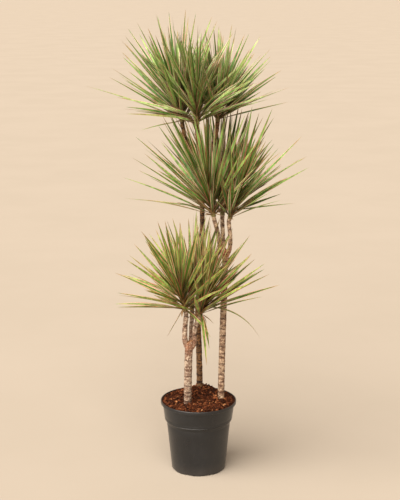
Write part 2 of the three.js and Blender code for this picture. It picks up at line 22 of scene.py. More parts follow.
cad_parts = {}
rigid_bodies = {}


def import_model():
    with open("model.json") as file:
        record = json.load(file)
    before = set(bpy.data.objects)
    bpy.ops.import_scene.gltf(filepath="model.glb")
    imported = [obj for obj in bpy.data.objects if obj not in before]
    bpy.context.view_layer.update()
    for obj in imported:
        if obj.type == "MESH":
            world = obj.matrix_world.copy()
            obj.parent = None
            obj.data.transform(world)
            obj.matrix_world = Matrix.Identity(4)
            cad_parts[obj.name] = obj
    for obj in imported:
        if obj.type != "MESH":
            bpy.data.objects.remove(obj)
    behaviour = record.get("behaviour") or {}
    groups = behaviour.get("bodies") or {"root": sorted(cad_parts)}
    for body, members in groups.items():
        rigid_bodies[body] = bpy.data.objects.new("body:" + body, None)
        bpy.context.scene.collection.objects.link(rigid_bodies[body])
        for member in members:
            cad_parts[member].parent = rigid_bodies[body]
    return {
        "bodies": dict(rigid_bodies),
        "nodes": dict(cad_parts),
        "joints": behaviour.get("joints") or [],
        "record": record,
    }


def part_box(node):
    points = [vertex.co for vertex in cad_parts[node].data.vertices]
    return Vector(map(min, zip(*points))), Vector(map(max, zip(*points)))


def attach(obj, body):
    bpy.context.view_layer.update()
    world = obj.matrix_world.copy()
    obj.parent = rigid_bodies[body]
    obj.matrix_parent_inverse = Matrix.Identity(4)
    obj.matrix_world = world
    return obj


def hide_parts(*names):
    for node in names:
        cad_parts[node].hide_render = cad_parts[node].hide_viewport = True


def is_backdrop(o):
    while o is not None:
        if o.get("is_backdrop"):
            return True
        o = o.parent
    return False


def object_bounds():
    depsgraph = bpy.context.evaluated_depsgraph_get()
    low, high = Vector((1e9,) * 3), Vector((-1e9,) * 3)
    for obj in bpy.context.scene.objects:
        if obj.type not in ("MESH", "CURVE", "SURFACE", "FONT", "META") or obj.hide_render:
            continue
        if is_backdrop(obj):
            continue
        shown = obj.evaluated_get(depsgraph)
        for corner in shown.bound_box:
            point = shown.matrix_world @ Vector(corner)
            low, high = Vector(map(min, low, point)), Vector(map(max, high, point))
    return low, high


LOG = logging.getLogger("dracaena")

MM = 0.001
GOLDEN_ANGLE = 137.508
BODY = "root"

Colour = tuple[float, float, float, float]
Face = tuple[int, ...]
Socket = bpy.types.NodeSocket
Value = float | Colour | tuple[float, float, float] | Socket


# ---------------------------- small mathematics


def mix(low: float, high: float, share: float) -> float:
    """The value at a share of the way from low to high."""
    return low + (high - low) * share


def unit(vectors: np.ndarray) -> np.ndarray:
    """The vectors at length 1, along the last axis."""
    return vectors / np.linalg.norm(vectors, axis=-1, keepdims=True)


def smooth(low: float, high: float, value: np.ndarray) -> np.ndarray:
    """A smooth step: 0 below low, 1 above high."""
    share = np.clip((value - low) / (high - low), 0, 1)
    return share * share * (3 - 2 * share)


def cross_frame(direction: np.ndarray) -> tuple[np.ndarray, np.ndarray]:
    """Two directions square to each unit vector that points mostly up: one near +X, one near +Y."""
    side = unit(np.array([1.0, 0, 0]) - direction * direction[..., :1])
    return side, np.cross(direction, side)


def seeded(seed: int) -> Callable[[], float]:
    """Repeatable random numbers from 0 to 1, the same for the same seed.

    Args:
        seed: A whole number.

    Returns:
        A function that draws the next number.
    """
    mask = 0xFFFFFFFF
    state = seed & mask

    def draw() -> float:
        """The next number."""
        nonlocal state
        state = (state + 0x6D2B79F5) & mask
        mixed = ((state ^ (state >> 15)) * (1 | state)) & mask
        mixed = ((mixed + (mixed ^ (mixed >> 7)) * (61 | mixed)) & mask) ^ mixed
        return ((mixed ^ (mixed >> 14)) & mask) / 2**32

    return draw


def ring_angles(sides: int) -> np.ndarray:
    """Even angles round a ring, in radians."""
    return np.arange(sides) * 2 * math.pi / sides


def ring_points(sides: int, radius: float, height: float | np.ndarray) -> np.ndarray:
    """Points of a ring about the axis, one in each row, at one height or each at its own."""
    angles = ring_angles(sides)
    return np.column_stack([radius * np.cos(angles), radius * np.sin(angles), np.zeros(sides) + height])


def rough_noise(points: np.ndarray, size: float, seed: float) -> np.ndarray:
    """Smooth noise from -1 to 1 at each point, with lumps as wide as size. seed moves it along."""
    return np.array([noise.noise(Vector(p) / size + Vector((seed, 0, 0))) for p in points])


class SmoothLine:
    """A smooth line through given points, evenly timed between them."""

    TANGENT_STEP = 1e-3
    MEASURED_POINTS = 65

    def __init__(self, points: Sequence[Sequence[float]]) -> None:
        """Takes the points of the line.

        Args:
            points: Places in millimetres, first to last.
        """
        knots = np.array(points, float)
        before, after = 2 * knots[0] - knots[1], 2 * knots[-1] - knots[-2]
        self.knots = np.vstack([before, knots, after])

    def points(self, shares: np.ndarray) -> np.ndarray:
        """Places along the line.

        Args:
            shares: Shares of the line from 0 to 1.

        Returns:
            A place in each row.
        """
        spans = len(self.knots) - 3
        place = np.clip(shares, 0, 1) * spans
        first = np.minimum(place.astype(int), spans - 1)
        t = (place - first)[:, None]
        a, b, c, d = (self.knots[first + i] for i in range(4))
        enter, leave = (c - a) / 2, (d - b) / 2
        cubic = 2 * b - 2 * c + enter + leave
        square = 3 * c - 3 * b - 2 * enter - leave
        return cubic * t**3 + square * t**2 + enter * t + b

    def tangents(self, shares: np.ndarray) -> np.ndarray:
        """Directions of the line at shares of it."""
        return unit(self.points(shares + self.TANGENT_STEP) - self.points(shares - self.TANGENT_STEP))

    def length(self) -> float:
        """Length of the line in millimetres."""
        places = self.points(np.linspace(0, 1, self.MEASURED_POINTS))
        return float(np.linalg.norm(np.diff(places, axis=0), axis=1).sum())


# ---------------------------- meshes


class MeshDraft:
    """Points, faces and values on the points, gathered form by form into one mesh."""

    def __init__(self) -> None:
        """Starts with nothing."""
        self.points: list[np.ndarray] = []
        self.faces: list[Face] = []
        self.slots: list[int] = []
        self.values: dict[str, list[np.ndarray]] = {}
        self.count = 0

    def add(self, points: np.ndarray, faces: Iterable[Face], slot: int = 0, **values: Value) -> None:
        """Adds a closed form.

        Args:
            points: Its points in millimetres, one in each row.
            faces: Its faces, as numbers of its own points.
            slot: Which of the mesh's materials it has.
            **values: Named values on its points: one for each point, or one for all.
        """
        start, before = self.count, len(self.faces)
        self.points.append(points)
        self.faces += [tuple(corner + start for corner in face) for face in faces]
        self.slots += [slot] * (len(self.faces) - before)
        for key, value in values.items():
            given = np.asarray(value, float)
            wide = given.shape if given.ndim == 2 else (len(points),)
            self.values.setdefault(key, []).append(np.broadcast_to(given, wide))
        self.count += len(points)

    def build(
        self, name: str, materials: Sequence[bpy.types.Material], sharp: float = 50.0
    ) -> bpy.types.Object:
        """Makes the mesh and puts it in the scene.

        Args:
            name: Name of the piece.
            materials: Its materials, in the order of the slots.
            sharp: Angle in degrees above which an edge stays sharp.

        Returns:
            The new object.
        """
        mesh = bpy.data.meshes.new(name)
        mesh.from_pydata((np.vstack(self.points) * MM).tolist(), [], self.faces)
        for material in materials:
            mesh.materials.append(material)
        mesh.polygons.foreach_set("material_index", self.slots)
        for key, parts in self.values.items():
            whole = np.concatenate(parts)
            kind, field_name = ("FLOAT", "value") if whole.ndim == 1 else ("FLOAT_VECTOR", "vector")
            layer = mesh.attributes.new(key, kind, "POINT")
            layer.data.foreach_set(field_name, whole.ravel())
        mesh.shade_smooth()
        mesh.set_sharp_from_angle(angle=math.radians(sharp))
        piece = bpy.data.objects.new(name, mesh)
        bpy.context.scene.collection.objects.link(piece)
        return piece


def loft_faces(rings: int, sides: int, ends: bool = True) -> list[Face]:
    """Faces between rings of points that go round counter-clockwise, seen against the way they rise.

    Args:
        rings: Number of rings.
        sides: Points in each ring.
        ends: Whether the first and last rings are closed with a face each.

    Returns:
        The faces, as numbers of the points counted ring by ring.
    """
    faces: list[Face] = []
    for ring in range(rings - 1):
        low, high = ring * sides, (ring + 1) * sides
        for j in range(sides):
            k = (j + 1) % sides
            faces.append((low + j, low + k, high + k, high + j))
    if ends:
        faces.append(tuple(reversed(range(sides))))
        faces.append(tuple(range((rings - 1) * sides, rings * sides)))
    return faces


def fan_faces(rim: int, sides: int) -> list[Face]:
    """Faces from a ring, of which rim is the first point, to a tip, the point that follows it."""
    return [(rim + j, rim + (j + 1) % sides, rim + sides) for j in range(sides)]


def dress(piece: bpy.types.Object, node: str) -> None:
    """Puts a finished piece in the place of a node of the frame.

    Args:
        piece: The new piece.
        node: Name of the node that it stands for.
    """
    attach(piece, BODY)
    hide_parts(node)
    LOG.info("%s: %d points, %d faces", piece.name, len(piece.data.vertices), len(piece.data.polygons))


# ---------------------------- shader nodes


class Net:
    """A node tree under construction, with short ways to add and join its nodes."""

    def __init__(self, tree: bpy.types.NodeTree) -> None:
        """Takes the tree to build in."""
        self.tree = tree

    def feed(self, socket: Socket, value: Value) -> None:
        """Sets a socket to a value, or joins another socket to it.

        Args:
            socket: The socket that is fed.
            value: A value, or the socket whose value it takes.
        """
        if isinstance(value, bpy.types.NodeSocket):
            self.tree.links.new(value, socket)
        else:
            socket.default_value = value

    def add(
        self, kind: str, inputs: dict[int | str, Value] | None = None, **settings: object
    ) -> bpy.types.Node:
        """Adds a node.

        Args:
            kind: Blender's name of the kind of node.
            inputs: Values or sockets for its inputs, by name or number.
            **settings: Its own options.

        Returns:
            The new node.
        """
        node = self.tree.nodes.new(kind)
        for key, setting in settings.items():
            setattr(node, key, setting)
        for key, value in (inputs or {}).items():
            self.feed(node.inputs[key], value)
        return node

    def math(self, operation: str, *values: Value, clamp: bool = False) -> Socket:
        """The result of one operation on up to three values."""
        node = self.add("ShaderNodeMath", dict(enumerate(values)), operation=operation, use_clamp=clamp)
        return node.outputs[0]

    def step(self, value: Value, low: Value, high: Value, to_low: float = 0, to_high: float = 1) -> Socket:
        """A smooth step of a value from one range to another.

        Args:
            value: What is stepped.
            low: Where the step starts.
            high: Where it ends.
            to_low: The result up to its start.
            to_high: The result from its end on.

        Returns:
            The result.
        """
        inputs = {0: value, 1: low, 2: high, 3: to_low, 4: to_high}
        node = self.add("ShaderNodeMapRange", inputs, interpolation_type="SMOOTHSTEP")
        return node.outputs[0]

    def blend(self, share: Value, first: Value, second: Value) -> Socket:
        """A colour between two colours."""
        inputs = {0: share, 6: first, 7: second}
        return self.add("ShaderNodeMix", inputs, data_type="RGBA").outputs[2]

    def grain(self, place: Socket, scale: float, detail: float = 3, roughness: float = 0.55) -> Socket:
        """Noise from 0 to 1."""
        inputs = {"Vector": place, "Scale": scale, "Detail": detail, "Roughness": roughness}
        return self.add("ShaderNodeTexNoise", inputs).outputs[0]

    def stretched(self, place: Socket, scale: tuple[float, float, float]) -> Socket:
        """A place scaled along its three axes."""
        inputs = {0: place, 1: scale}
        return self.add("ShaderNodeVectorMath", inputs, operation="MULTIPLY").outputs[0]

    def ramp(self, share: Socket, stops: Sequence[tuple[float, Colour]]) -> Socket:
        """A colour from a row of colours.

        Args:
            share: Where in the row to look, from 0 to 1.
            stops: The place and colour of each stop.

        Returns:
            The colour.
        """
        node = self.add("ShaderNodeValToRGB", {0: share})
        row = node.color_ramp.elements
        while len(row) < len(stops):
            row.new(0.5)
        for element, (place, colour) in zip(row, stops):
            element.position = place
            element.color = colour
        return node.outputs[0]

    def attribute(self, name: str, output: str = "Fac") -> Socket:
        """A value that the mesh carries on its points."""
        return self.add("ShaderNodeAttribute", attribute_name=name).outputs[output]

    def place(self) -> Socket:
        """The place on the piece, in metres in the frame's axes."""
        return self.add("ShaderNodeTexCoord").outputs["Object"]

    def group(self, tree: bpy.types.NodeTree, inputs: dict[str, Value]) -> bpy.types.Node:
        """Places a shared group.

        Args:
            tree: The group.
            inputs: Values or sockets for its inputs, by name.

        Returns:
            The node that stands for the group.
        """
        node = self.add("ShaderNodeGroup", node_tree=tree)
        for key, value in inputs.items():
            self.feed(node.inputs[key], value)
        return node


class SharedGroup:
    """A shader node group with named inputs and outputs, built once."""

    def __init__(self, name: str, inputs: dict[str, str], outputs: dict[str, str]) -> None:
        """Makes the empty group.

        Args:
            name: Name of the group.
            inputs: Kind of socket for each input's name.
            outputs: Kind of socket for each output's name.
        """
        self.tree = bpy.data.node_groups.new(name, "ShaderNodeTree")
        for key, kind in inputs.items():
            self.tree.interface.new_socket(name=key, in_out="INPUT", socket_type=kind)
        for key, kind in outputs.items():
            self.tree.interface.new_socket(name=key, in_out="OUTPUT", socket_type=kind)
        self.net = Net(self.tree)
        self.inputs = self.net.add("NodeGroupInput").outputs
        self.outputs = self.net.add("NodeGroupOutput").inputs


FLOAT = "NodeSocketFloat"
VECTOR = "NodeSocketVector"


def fibre_group() -> bpy.types.NodeTree:
    """Long thin fibres that run one way over a surface, as in bark, cut wood and leaves.

    Returns:
        The group: Place and Fineness in, Fibre out, from 0 to 1.
    """
    group = SharedGroup("fibres", {"Place": VECTOR, "Fineness": FLOAT}, {"Fibre": FLOAT})
    net, place = group.net, group.inputs["Place"]
    wide = net.add("ShaderNodeTexNoise", {"Vector": place, "Scale": group.inputs["Fineness"], "Detail": 4})
    doubled = net.math("MULTIPLY", group.inputs["Fineness"], 2.7)
    fine = net.add("ShaderNodeTexNoise", {"Vector": place, "Scale": doubled, "Detail": 3})
    joined = net.math("MULTIPLY_ADD", wide.outputs[0], 0.6, net.math("MULTIPLY", fine.outputs[0], 0.4))
    net.feed(group.outputs["Fibre"], net.step(joined, 0.36, 0.64))
    return group.tree


def speckle_group() -> bpy.types.NodeTree:
    """Fine dust and specks that lie here and there.

    Returns:
        The group: Place, Fineness and Amount in, Specks out, from 0 to 1.
    """
    sockets = {"Place": VECTOR, "Fineness": FLOAT, "Amount": FLOAT}
    group = SharedGroup("specks", sockets, {"Specks": FLOAT})
    net, place = group.net, group.inputs["Place"]
    fine = net.add("ShaderNodeTexNoise", {"Vector": place, "Scale": group.inputs["Fineness"], "Detail": 5})
    coarse = net.math("DIVIDE", group.inputs["Fineness"], 9.0)
    patches = net.add("ShaderNodeTexNoise", {"Vector": place, "Scale": coarse, "Detail": 2})
    edge = net.math("SUBTRACT", 0.78, net.math("MULTIPLY", group.inputs["Amount"], 0.35))
    seen = net.step(fine.outputs[0], net.math("SUBTRACT", edge, 0.06), edge)
    net.feed(group.outputs["Specks"], net.math("MULTIPLY", seen, net.step(patches.outputs[0], 0.3, 0.65)))
    return group.tree


def scar_group() -> bpy.types.NodeTree:
    """Crescent leaf scars that wind up a cane, one to a row, each with a dark bud in its middle.

    Returns:
        The group. Place is the cosine and sine of the angle round the cane, and the height along it in
        millimetres; Pitch is the height of a row. Scar is the dark line, Halo the broken stain round
        it and Bud the spot in its middle, all masks, and Tone differs from row to row.
    """
    sockets = {"Place": VECTOR, "Pitch": FLOAT, "Width": FLOAT}
    group = SharedGroup("leaf_scars", sockets, {"Scar": FLOAT, "Halo": FLOAT, "Bud": FLOAT, "Tone": FLOAT})
    net, given = group.net, group.inputs
    parts = net.add("ShaderNodeSeparateXYZ", {0: given["Place"]}).outputs
    uneven = net.grain(net.stretched(given["Place"], (0.9, 0.9, 0.11)), 1.7, 3)
    rows = net.math("MULTIPLY_ADD", uneven, 0.62, net.math("DIVIDE", parts[2], given["Pitch"]))
    row = net.math("FLOOR", rows)
    phase = net.math("MULTIPLY", row, math.radians(GOLDEN_ANGLE))
    facing = net.math(
        "ADD",
        net.math("MULTIPLY", parts[0], net.math("COSINE", phase)),
        net.math("MULTIPLY", parts[1], net.math("SINE", phase)),
    )
    centre = net.math("MULTIPLY_ADD", facing, 0.17, 0.5)
    far = net.math("ABSOLUTE", net.math("SUBTRACT", net.math("SUBTRACT", rows, row), centre))
    chance = net.add("ShaderNodeTexWhiteNoise", {"W": row}, noise_dimensions="1D").outputs[0]
    strength = net.math("MULTIPLY_ADD", facing, 0.75, net.math("MULTIPLY_ADD", chance, 0.8, 0.1), clamp=True)
    wide = net.math("MULTIPLY", given["Width"], strength)
    broken = net.grain(net.stretched(given["Place"], (1, 1, 0.3)), 4.0, 3)
    line = net.step(far, net.math("MULTIPLY", wide, 0.4), wide, 1, 0)
    net.feed(group.outputs["Scar"], net.math("MULTIPLY", line, net.step(broken, 0.41, 0.53)))
    stain = net.grain(net.stretched(given["Place"], (1, 1, 0.16)), 2.6, 4, 0.65)
    near = net.step(far, net.math("MULTIPLY", wide, 1.1), net.math("MULTIPLY", wide, 3.0), 1, 0)
    net.feed(group.outputs["Halo"], net.math("MULTIPLY", near, net.step(stain, 0.42, 0.54)))
    middle = net.math("MULTIPLY", net.step(facing, 0.9, 0.97), net.step(far, 0.1, 0.26, 1, 0))
    net.feed(group.outputs["Bud"], net.math("MULTIPLY", middle, net.step(chance, 0.3, 0.5)))
    net.feed(group.outputs["Tone"], chance)
    return group.tree


def leaf_group() -> bpy.types.NodeTree:
    """What lies along and across a leaf: red edges, pale bands, fine veins, a dry tip, and a brownish foot
    darkened as painted shade of the crown's core.

    Returns:
        The group: Along from 0 at the foot to 1 at the tip, Across from -1 to 1 and Tint in, and a mask
        out for each mark.
    """
    sockets = {"Along": FLOAT, "Across": FLOAT, "Tint": FLOAT}
    masks = {"Edge": FLOAT, "Band": FLOAT, "Vein": FLOAT, "Dry": FLOAT, "FootShade": FLOAT}
    group = SharedGroup("leaf_marks", sockets, masks)
    net, given = group.net, group.inputs
    along, tint = given["Along"], given["Tint"]
    out = net.math("ABSOLUTE", given["Across"])
    strip = {0: net.math("MULTIPLY", along, 5.0), 1: net.math("MULTIPLY", tint, 37.0)}
    patchy = net.grain(net.add("ShaderNodeCombineXYZ", strip).outputs[0], 1.0, 2)
    edge_start = net.math("MULTIPLY_ADD", patchy, -0.35, 0.97)
    net.feed(group.outputs["Edge"], net.step(out, edge_start, net.math("ADD", edge_start, 0.08)))
    chance = net.math("FRACT", net.math("MULTIPLY", tint, 7.3))
    start = net.math("MULTIPLY_ADD", chance, -0.26, 0.76)
    inner = net.step(out, start, net.math("ADD", start, 0.12))
    band = net.math("MULTIPLY", inner, net.step(out, 0.82, 0.92, 1, 0))
    strength = net.step(net.math("FRACT", net.math("MULTIPLY", tint, 3.1)), 0.1, 0.6)
    band = net.math("MULTIPLY", band, net.math("MULTIPLY", strength, net.step(patchy, 0.25, 0.55)))
    net.feed(group.outputs["Band"], band)
    veins = net.math("MULTIPLY_ADD", given["Across"], 34.0, net.math("MULTIPLY", patchy, 3.0))
    net.feed(group.outputs["Vein"], net.math("MULTIPLY_ADD", net.math("SINE", veins), 0.5, 0.5))
    tip_start = net.math("MULTIPLY_ADD", net.math("FRACT", net.math("MULTIPLY", tint, 11.7)), 0.14, 0.84)
    net.feed(group.outputs["Dry"], net.step(along, tip_start, net.math("ADD", tip_start, 0.06)))
    # Painted shade: each leaf darkens towards its foot, standing in for the shade in the crown's core.
    net.feed(group.outputs["FootShade"], net.step(along, 0.04, 0.36, 1, 0))
    return group.tree


@dataclass(frozen=True)
class SharedGroups:
    """The groups that more than one material uses."""

    fibres: bpy.types.NodeTree
    specks: bpy.types.NodeTree
    scars: bpy.types.NodeTree
    marks: bpy.types.NodeTree

    @classmethod
    def make(cls) -> SharedGroups:
        """Builds each group once."""
        return cls(fibre_group(), speckle_group(), scar_group(), leaf_group())


# ---------------------------- finishes


def new_material(name: str) -> tuple[bpy.types.Material, Net, bpy.types.Node]:
    """An empty material.

    Args:
        name: Name of the material.

    Returns:
        The material, its node tree, and its Principled BSDF, joined to the output.
    """
    material = bpy.data.materials.new(name)
    material.use_nodes = True
    material.node_tree.nodes.clear()
    net = Net(material.node_tree)
    shader = net.add("ShaderNodeBsdfPrincipled")
    net.feed(net.add("ShaderNodeOutputMaterial").inputs["Surface"], shader.outputs[0])
    return material, net, shader


def raise_surface(
    net: Net, shader: bpy.types.Node, height: Socket, depth: float, strength: float = 1
) -> None:
    """Bumps a surface by a height from 0 to 1 that stands for depth in millimetres."""
    bump = net.add("ShaderNodeBump", {"Height": height, "Distance": depth * MM, "Strength": strength})
    net.feed(shader.inputs["Normal"], bump.outputs[0])


@dataclass(frozen=True)
class PotPlastic:
    """Dark grey moulded plastic with a satin skin, faint flow streaks and a little dust."""

    dark: Colour = (0.0043, 0.0050, 0.0066, 1)
    light: Colour = (0.0094, 0.0106, 0.0130, 1)
    dust: Colour = (0.20, 0.16, 0.13, 1)
    dust_height: float = 0.045
    roughness: tuple[float, float] = (0.26, 0.36)
    specular: float = 0.58
    peel_depth: float = 0.12

    def make(self, groups: SharedGroups) -> bpy.types.Material:
        """Builds the material.

        Args:
            groups: The node groups that materials share.

        Returns:
            The material.
        """
        material, net, shader = new_material("pot_plastic")
        place = net.place()
        streaks = net.grain(net.stretched(place, (1, 1, 0.12)), 46, 4)
        clouds = net.grain(place, 9, 3)
        tone = net.math("MULTIPLY_ADD", streaks, 0.35, net.math("MULTIPLY", clouds, 0.65))
        specks = net.group(groups.specks, {"Place": place, "Fineness": 420.0, "Amount": 0.18}).outputs[0]
        height = net.add("ShaderNodeSeparateXYZ", {0: place}).outputs[2]
        low = net.math("MULTIPLY", net.step(height, 0.0, self.dust_height, 1, 0), clouds)
        dusty = net.math("MULTIPLY_ADD", low, 0.16, net.math("MULTIPLY", specks, 0.5))
        colour = net.blend(net.step(tone, 0.36, 0.66), self.dark, self.light)
        net.feed(shader.inputs["Base Color"], net.blend(dusty, colour, self.dust))
        net.feed(shader.inputs["Roughness"], net.step(tone, 0.3, 0.7, *self.roughness))
        shader.inputs["Specular IOR Level"].default_value = self.specular
        peel = net.math("MULTIPLY_ADD", net.grain(place, 900, 2), 0.5, net.math("MULTIPLY", streaks, 0.5))
        raise_surface(net, shader, peel, self.peel_depth, 0.5)
        return material


class Bark(Enum):
    """The three barks, by their slots in the record."""

    PALE = "bark_pale"
    BEIGE = "bark_beige"
    DARK = "bark_dark"


@dataclass(frozen=True)
class BarkFinish:
    """Bark with stained leaf scars and buds, mottled, warm below the shoots, and peeling in patches.

    pitch is the height of a row of scars in millimetres. The scars near the soil are darker, between
    the heights of low_band. patches, cracks and flecks say how much of each there is.
    """

    pale: Colour
    deep: Colour
    patch: Colour
    stain: Colour
    scar: Colour
    warm: Colour
    pitch: float
    scar_width: float = 0.14
    patches: float = 0.5
    cracks: float = 0.3
    flecks: float = 0.72
    low_stain: float = 0.0
    low_band: tuple[float, float] = (165.0, 255.0)
    roughness: tuple[float, float] = (0.66, 0.88)
    specular: float = 0.35
    relief_depth: float = 0.9

    def make(self, bark: Bark, groups: SharedGroups) -> bpy.types.Material:
        """Builds the material of one of the barks.

        Args:
            bark: Which bark it is.
            groups: The node groups that materials share.

        Returns:
            The material.
        """
        material, net, shader = new_material(bark.value)
        place = net.attribute("bark_place", "Vector")
        height = net.add("ShaderNodeSeparateXYZ", {0: place}).outputs[2]
        low = net.step(height, *self.low_band, 1.0 + self.low_stain, 1.0)
        inputs = {"Place": place, "Pitch": self.pitch, "Width": net.math("MULTIPLY", low, self.scar_width)}
        scars = net.group(groups.scars, inputs).outputs
        fibres = net.group(groups.fibres, {"Place": net.stretched(place, (1, 1, 0.06)), "Fineness": 5.0})
        mottle = net.grain(net.stretched(place, (1, 1, 0.13)), 2.3, 4, 0.62)
        peeling = net.grain(net.stretched(place, (1, 1, 0.16)), 1.3, 5, 0.68)
        peel = net.step(peeling, 0.66 - 0.2 * self.patches, 0.7 - 0.2 * self.patches)
        specks = net.group(groups.specks, {"Place": net.place(), "Fineness": 700.0, "Amount": 0.7})
        tone = net.math("MULTIPLY_ADD", scars["Tone"], 0.2, net.math("MULTIPLY", mottle, 0.8))
        colour = net.blend(net.step(tone, 0.38, 0.68), self.pale, self.deep)
        colour = net.blend(net.math("MULTIPLY", peel, 0.75), colour, self.patch)
        colour = net.blend(net.math("MULTIPLY", scars["Halo"], 0.85), colour, self.stain)
        inputs = {"Place": net.stretched(net.place(), (1, 1, 0.85)), "Fineness": 150.0, "Amount": self.flecks}
        flecks = net.group(groups.specks, inputs).outputs[0]
        colour = net.blend(net.math("MULTIPLY", flecks, 0.8), colour, self.stain)
        warmth = net.math("MULTIPLY", net.attribute("bark_warm"), net.step(mottle, 0.3, 0.55))
        colour = net.blend(net.math("MULTIPLY", warmth, 0.8), colour, self.warm)
        crack = net.math("MULTIPLY", net.step(fibres.outputs[0], 0.0, 0.25, 1, 0), self.cracks)
        dark = net.math("MAXIMUM", net.math("MAXIMUM", scars["Scar"], scars["Bud"]), crack)
        dark = net.math("MAXIMUM", dark, net.math("MULTIPLY", specks.outputs[0], 0.55))
        net.feed(shader.inputs["Base Color"], net.blend(net.math("MULTIPLY", dark, 0.9), colour, self.scar))
        net.feed(shader.inputs["Roughness"], net.step(tone, 0.3, 0.7, *self.roughness))
        shader.inputs["Specular IOR Level"].default_value = self.specular
        worn = net.math("SUBTRACT", 1.0, net.math("MULTIPLY", dark, 0.8))
        relief = net.math("MULTIPLY_ADD", peeling, 0.3, net.math("MULTIPLY", worn, 0.7))
        raise_surface(net, shader, relief, self.relief_depth)
        return material


@dataclass(frozen=True)
class CutWood:
    """The sawn end of a cane: orange-brown, ringed and a little split."""

    light: Colour = (0.62, 0.33, 0.15, 1)
    deep: Colour = (0.26, 0.095, 0.04, 1)
    roughness: tuple[float, float] = (0.7, 0.9)
    relief_depth: float = 0.5

    def make(self, groups: SharedGroups) -> bpy.types.Material:
        """Builds the material.

        Args:
            groups: The node groups that materials share.

        Returns:
            The material.
        """
        material, net, shader = new_material("cut_wood")
        place = net.place()
        fibres = net.group(groups.fibres, {"Place": net.stretched(place, (1, 1, 0.4)), "Fineness": 520.0})
        blotch = net.grain(place, 130, 3)
        tone = net.math("MULTIPLY_ADD", fibres.outputs[0], 0.5, net.math("MULTIPLY", blotch, 0.5))
        net.feed(shader.inputs["Base Color"], net.blend(net.step(tone, 0.25, 0.75), self.light, self.deep))
        net.feed(shader.inputs["Roughness"], net.step(tone, 0.2, 0.8, *self.roughness))
        raise_surface(net, shader, fibres.outputs[0], self.relief_depth)
        return material


class Crown(Enum):
    """The three crowns, by the slots of their leaves in the record."""

    LOW = "leaf_low"
    MID = "leaf_mid"
    TOP = "leaf_top"


@dataclass(frozen=True)
class LeafFinish:
    """A smooth leathery leaf: green with pale bands, a thin red edge, now and then a dry tip, and a brownish
    foot darkened as painted shade.
    """

    young: Colour
    old: Colour
    deep: Colour
    band: Colour
    edge: Colour
    # foot is the dark colour of painted shade at each leaf's foot, deep in the crown.
    foot: Colour = (0.060, 0.042, 0.009, 1)
    dry: Colour = (0.36, 0.21, 0.10, 1)
    band_share: float = 0.85
    edge_share: float = 0.95
    foot_shade_share: float = 0.82
    fibre_share: float = 0.55
    vein_share: float = 0.3
    roughness: float = 0.38
    vein_roughness: float = 0.08
    vein_depth: float = 0.12
    specular: float = 0.34

    def make(self, crown: Crown, groups: SharedGroups) -> bpy.types.Material:
        """Builds the material of one crown's leaves.

        Args:
            crown: Which crown it is.
            groups: The node groups that materials share.

        Returns:
            The material.
        """
        material, net, shader = new_material(crown.value)
        along, tint = net.attribute("leaf_along"), net.attribute("leaf_tint")
        inputs = {"Along": along, "Across": net.attribute("leaf_across"), "Tint": tint}
        marks = net.group(groups.marks, inputs).outputs
        inputs = {"Place": net.stretched(net.place(), (1, 1, 0.2)), "Fineness": 60.0}
        fibres = net.step(net.group(groups.fibres, inputs).outputs[0], 0.2, 0.8)
        bright = net.step(net.math("FRACT", net.math("MULTIPLY", tint, 17.3)), 0.1, 0.85)
        colour = net.blend(bright, self.old, self.young)
        colour = net.blend(net.math("MULTIPLY", fibres, self.fibre_share), colour, self.deep)
        colour = net.blend(net.math("MULTIPLY", marks["Vein"], self.vein_share), colour, self.deep)
        colour = net.blend(net.math("MULTIPLY", marks["Band"], self.band_share), colour, self.band)
        # Painted shade: the leaf's colour darkens towards its foot, where the crown's core lies in shade.
        colour = net.blend(net.math("MULTIPLY", marks["FootShade"], self.foot_shade_share), colour, self.foot)
        colour = net.blend(net.math("MULTIPLY", marks["Edge"], self.edge_share), colour, self.edge)
        dried = net.math("MAXIMUM", net.math("MULTIPLY", marks["Dry"], 0.8), net.attribute("leaf_dry"))
        net.feed(shader.inputs["Base Color"], net.blend(dried, colour, self.dry))
        rough = net.math("MULTIPLY_ADD", marks["Vein"], self.vein_roughness, self.roughness)
        net.feed(shader.inputs["Roughness"], rough)
        shader.inputs["Specular IOR Level"].default_value = self.specular
        raise_surface(net, shader, marks["Vein"], self.vein_depth, 0.6)
        return material


@dataclass(frozen=True)
class BarkChips:
    """Coarse bark and peat: reddish-brown chips from near black to pale orange."""

    stops: tuple[tuple[float, Colour], ...] = (
        (0.0, (0.012, 0.004, 0.002, 1)),
        (0.35, (0.056, 0.015, 0.005, 1)),
        (0.62, (0.130, 0.036, 0.012, 1)),
        (0.88, (0.25, 0.082, 0.030, 1)),
        (1.0, (0.52, 0.24, 0.10, 1)),
    )
    roughness: tuple[float, float] = (0.72, 0.95)
    specular: float = 0.12
    relief_depth: float = 0.6

    def make(self, groups: SharedGroups) -> bpy.types.Material:
        """Builds the material.

        Args:
            groups: The node groups that materials share.

        Returns:
            The material.
        """
        material, net, shader = new_material("bark_chips")
        place = net.place()
        fibres = net.group(groups.fibres, {"Place": net.stretched(place, (1, 0.35, 1)), "Fineness": 380.0})
        blotch = net.grain(place, 260, 4)
        shift = net.math("MULTIPLY_ADD", fibres.outputs[0], 0.22, net.math("MULTIPLY", blotch, 0.3))
        tone = net.math("ADD", net.attribute("chip_tint"), net.math("SUBTRACT", shift, 0.24), clamp=True)
        net.feed(shader.inputs["Base Color"], net.ramp(tone, self.stops))
        net.feed(shader.inputs["Roughness"], net.step(blotch, 0.3, 0.7, *self.roughness))
        shader.inputs["Specular IOR Level"].default_value = self.specular
        raise_surface(net, shader, fibres.outputs[0], self.relief_depth)
        return material


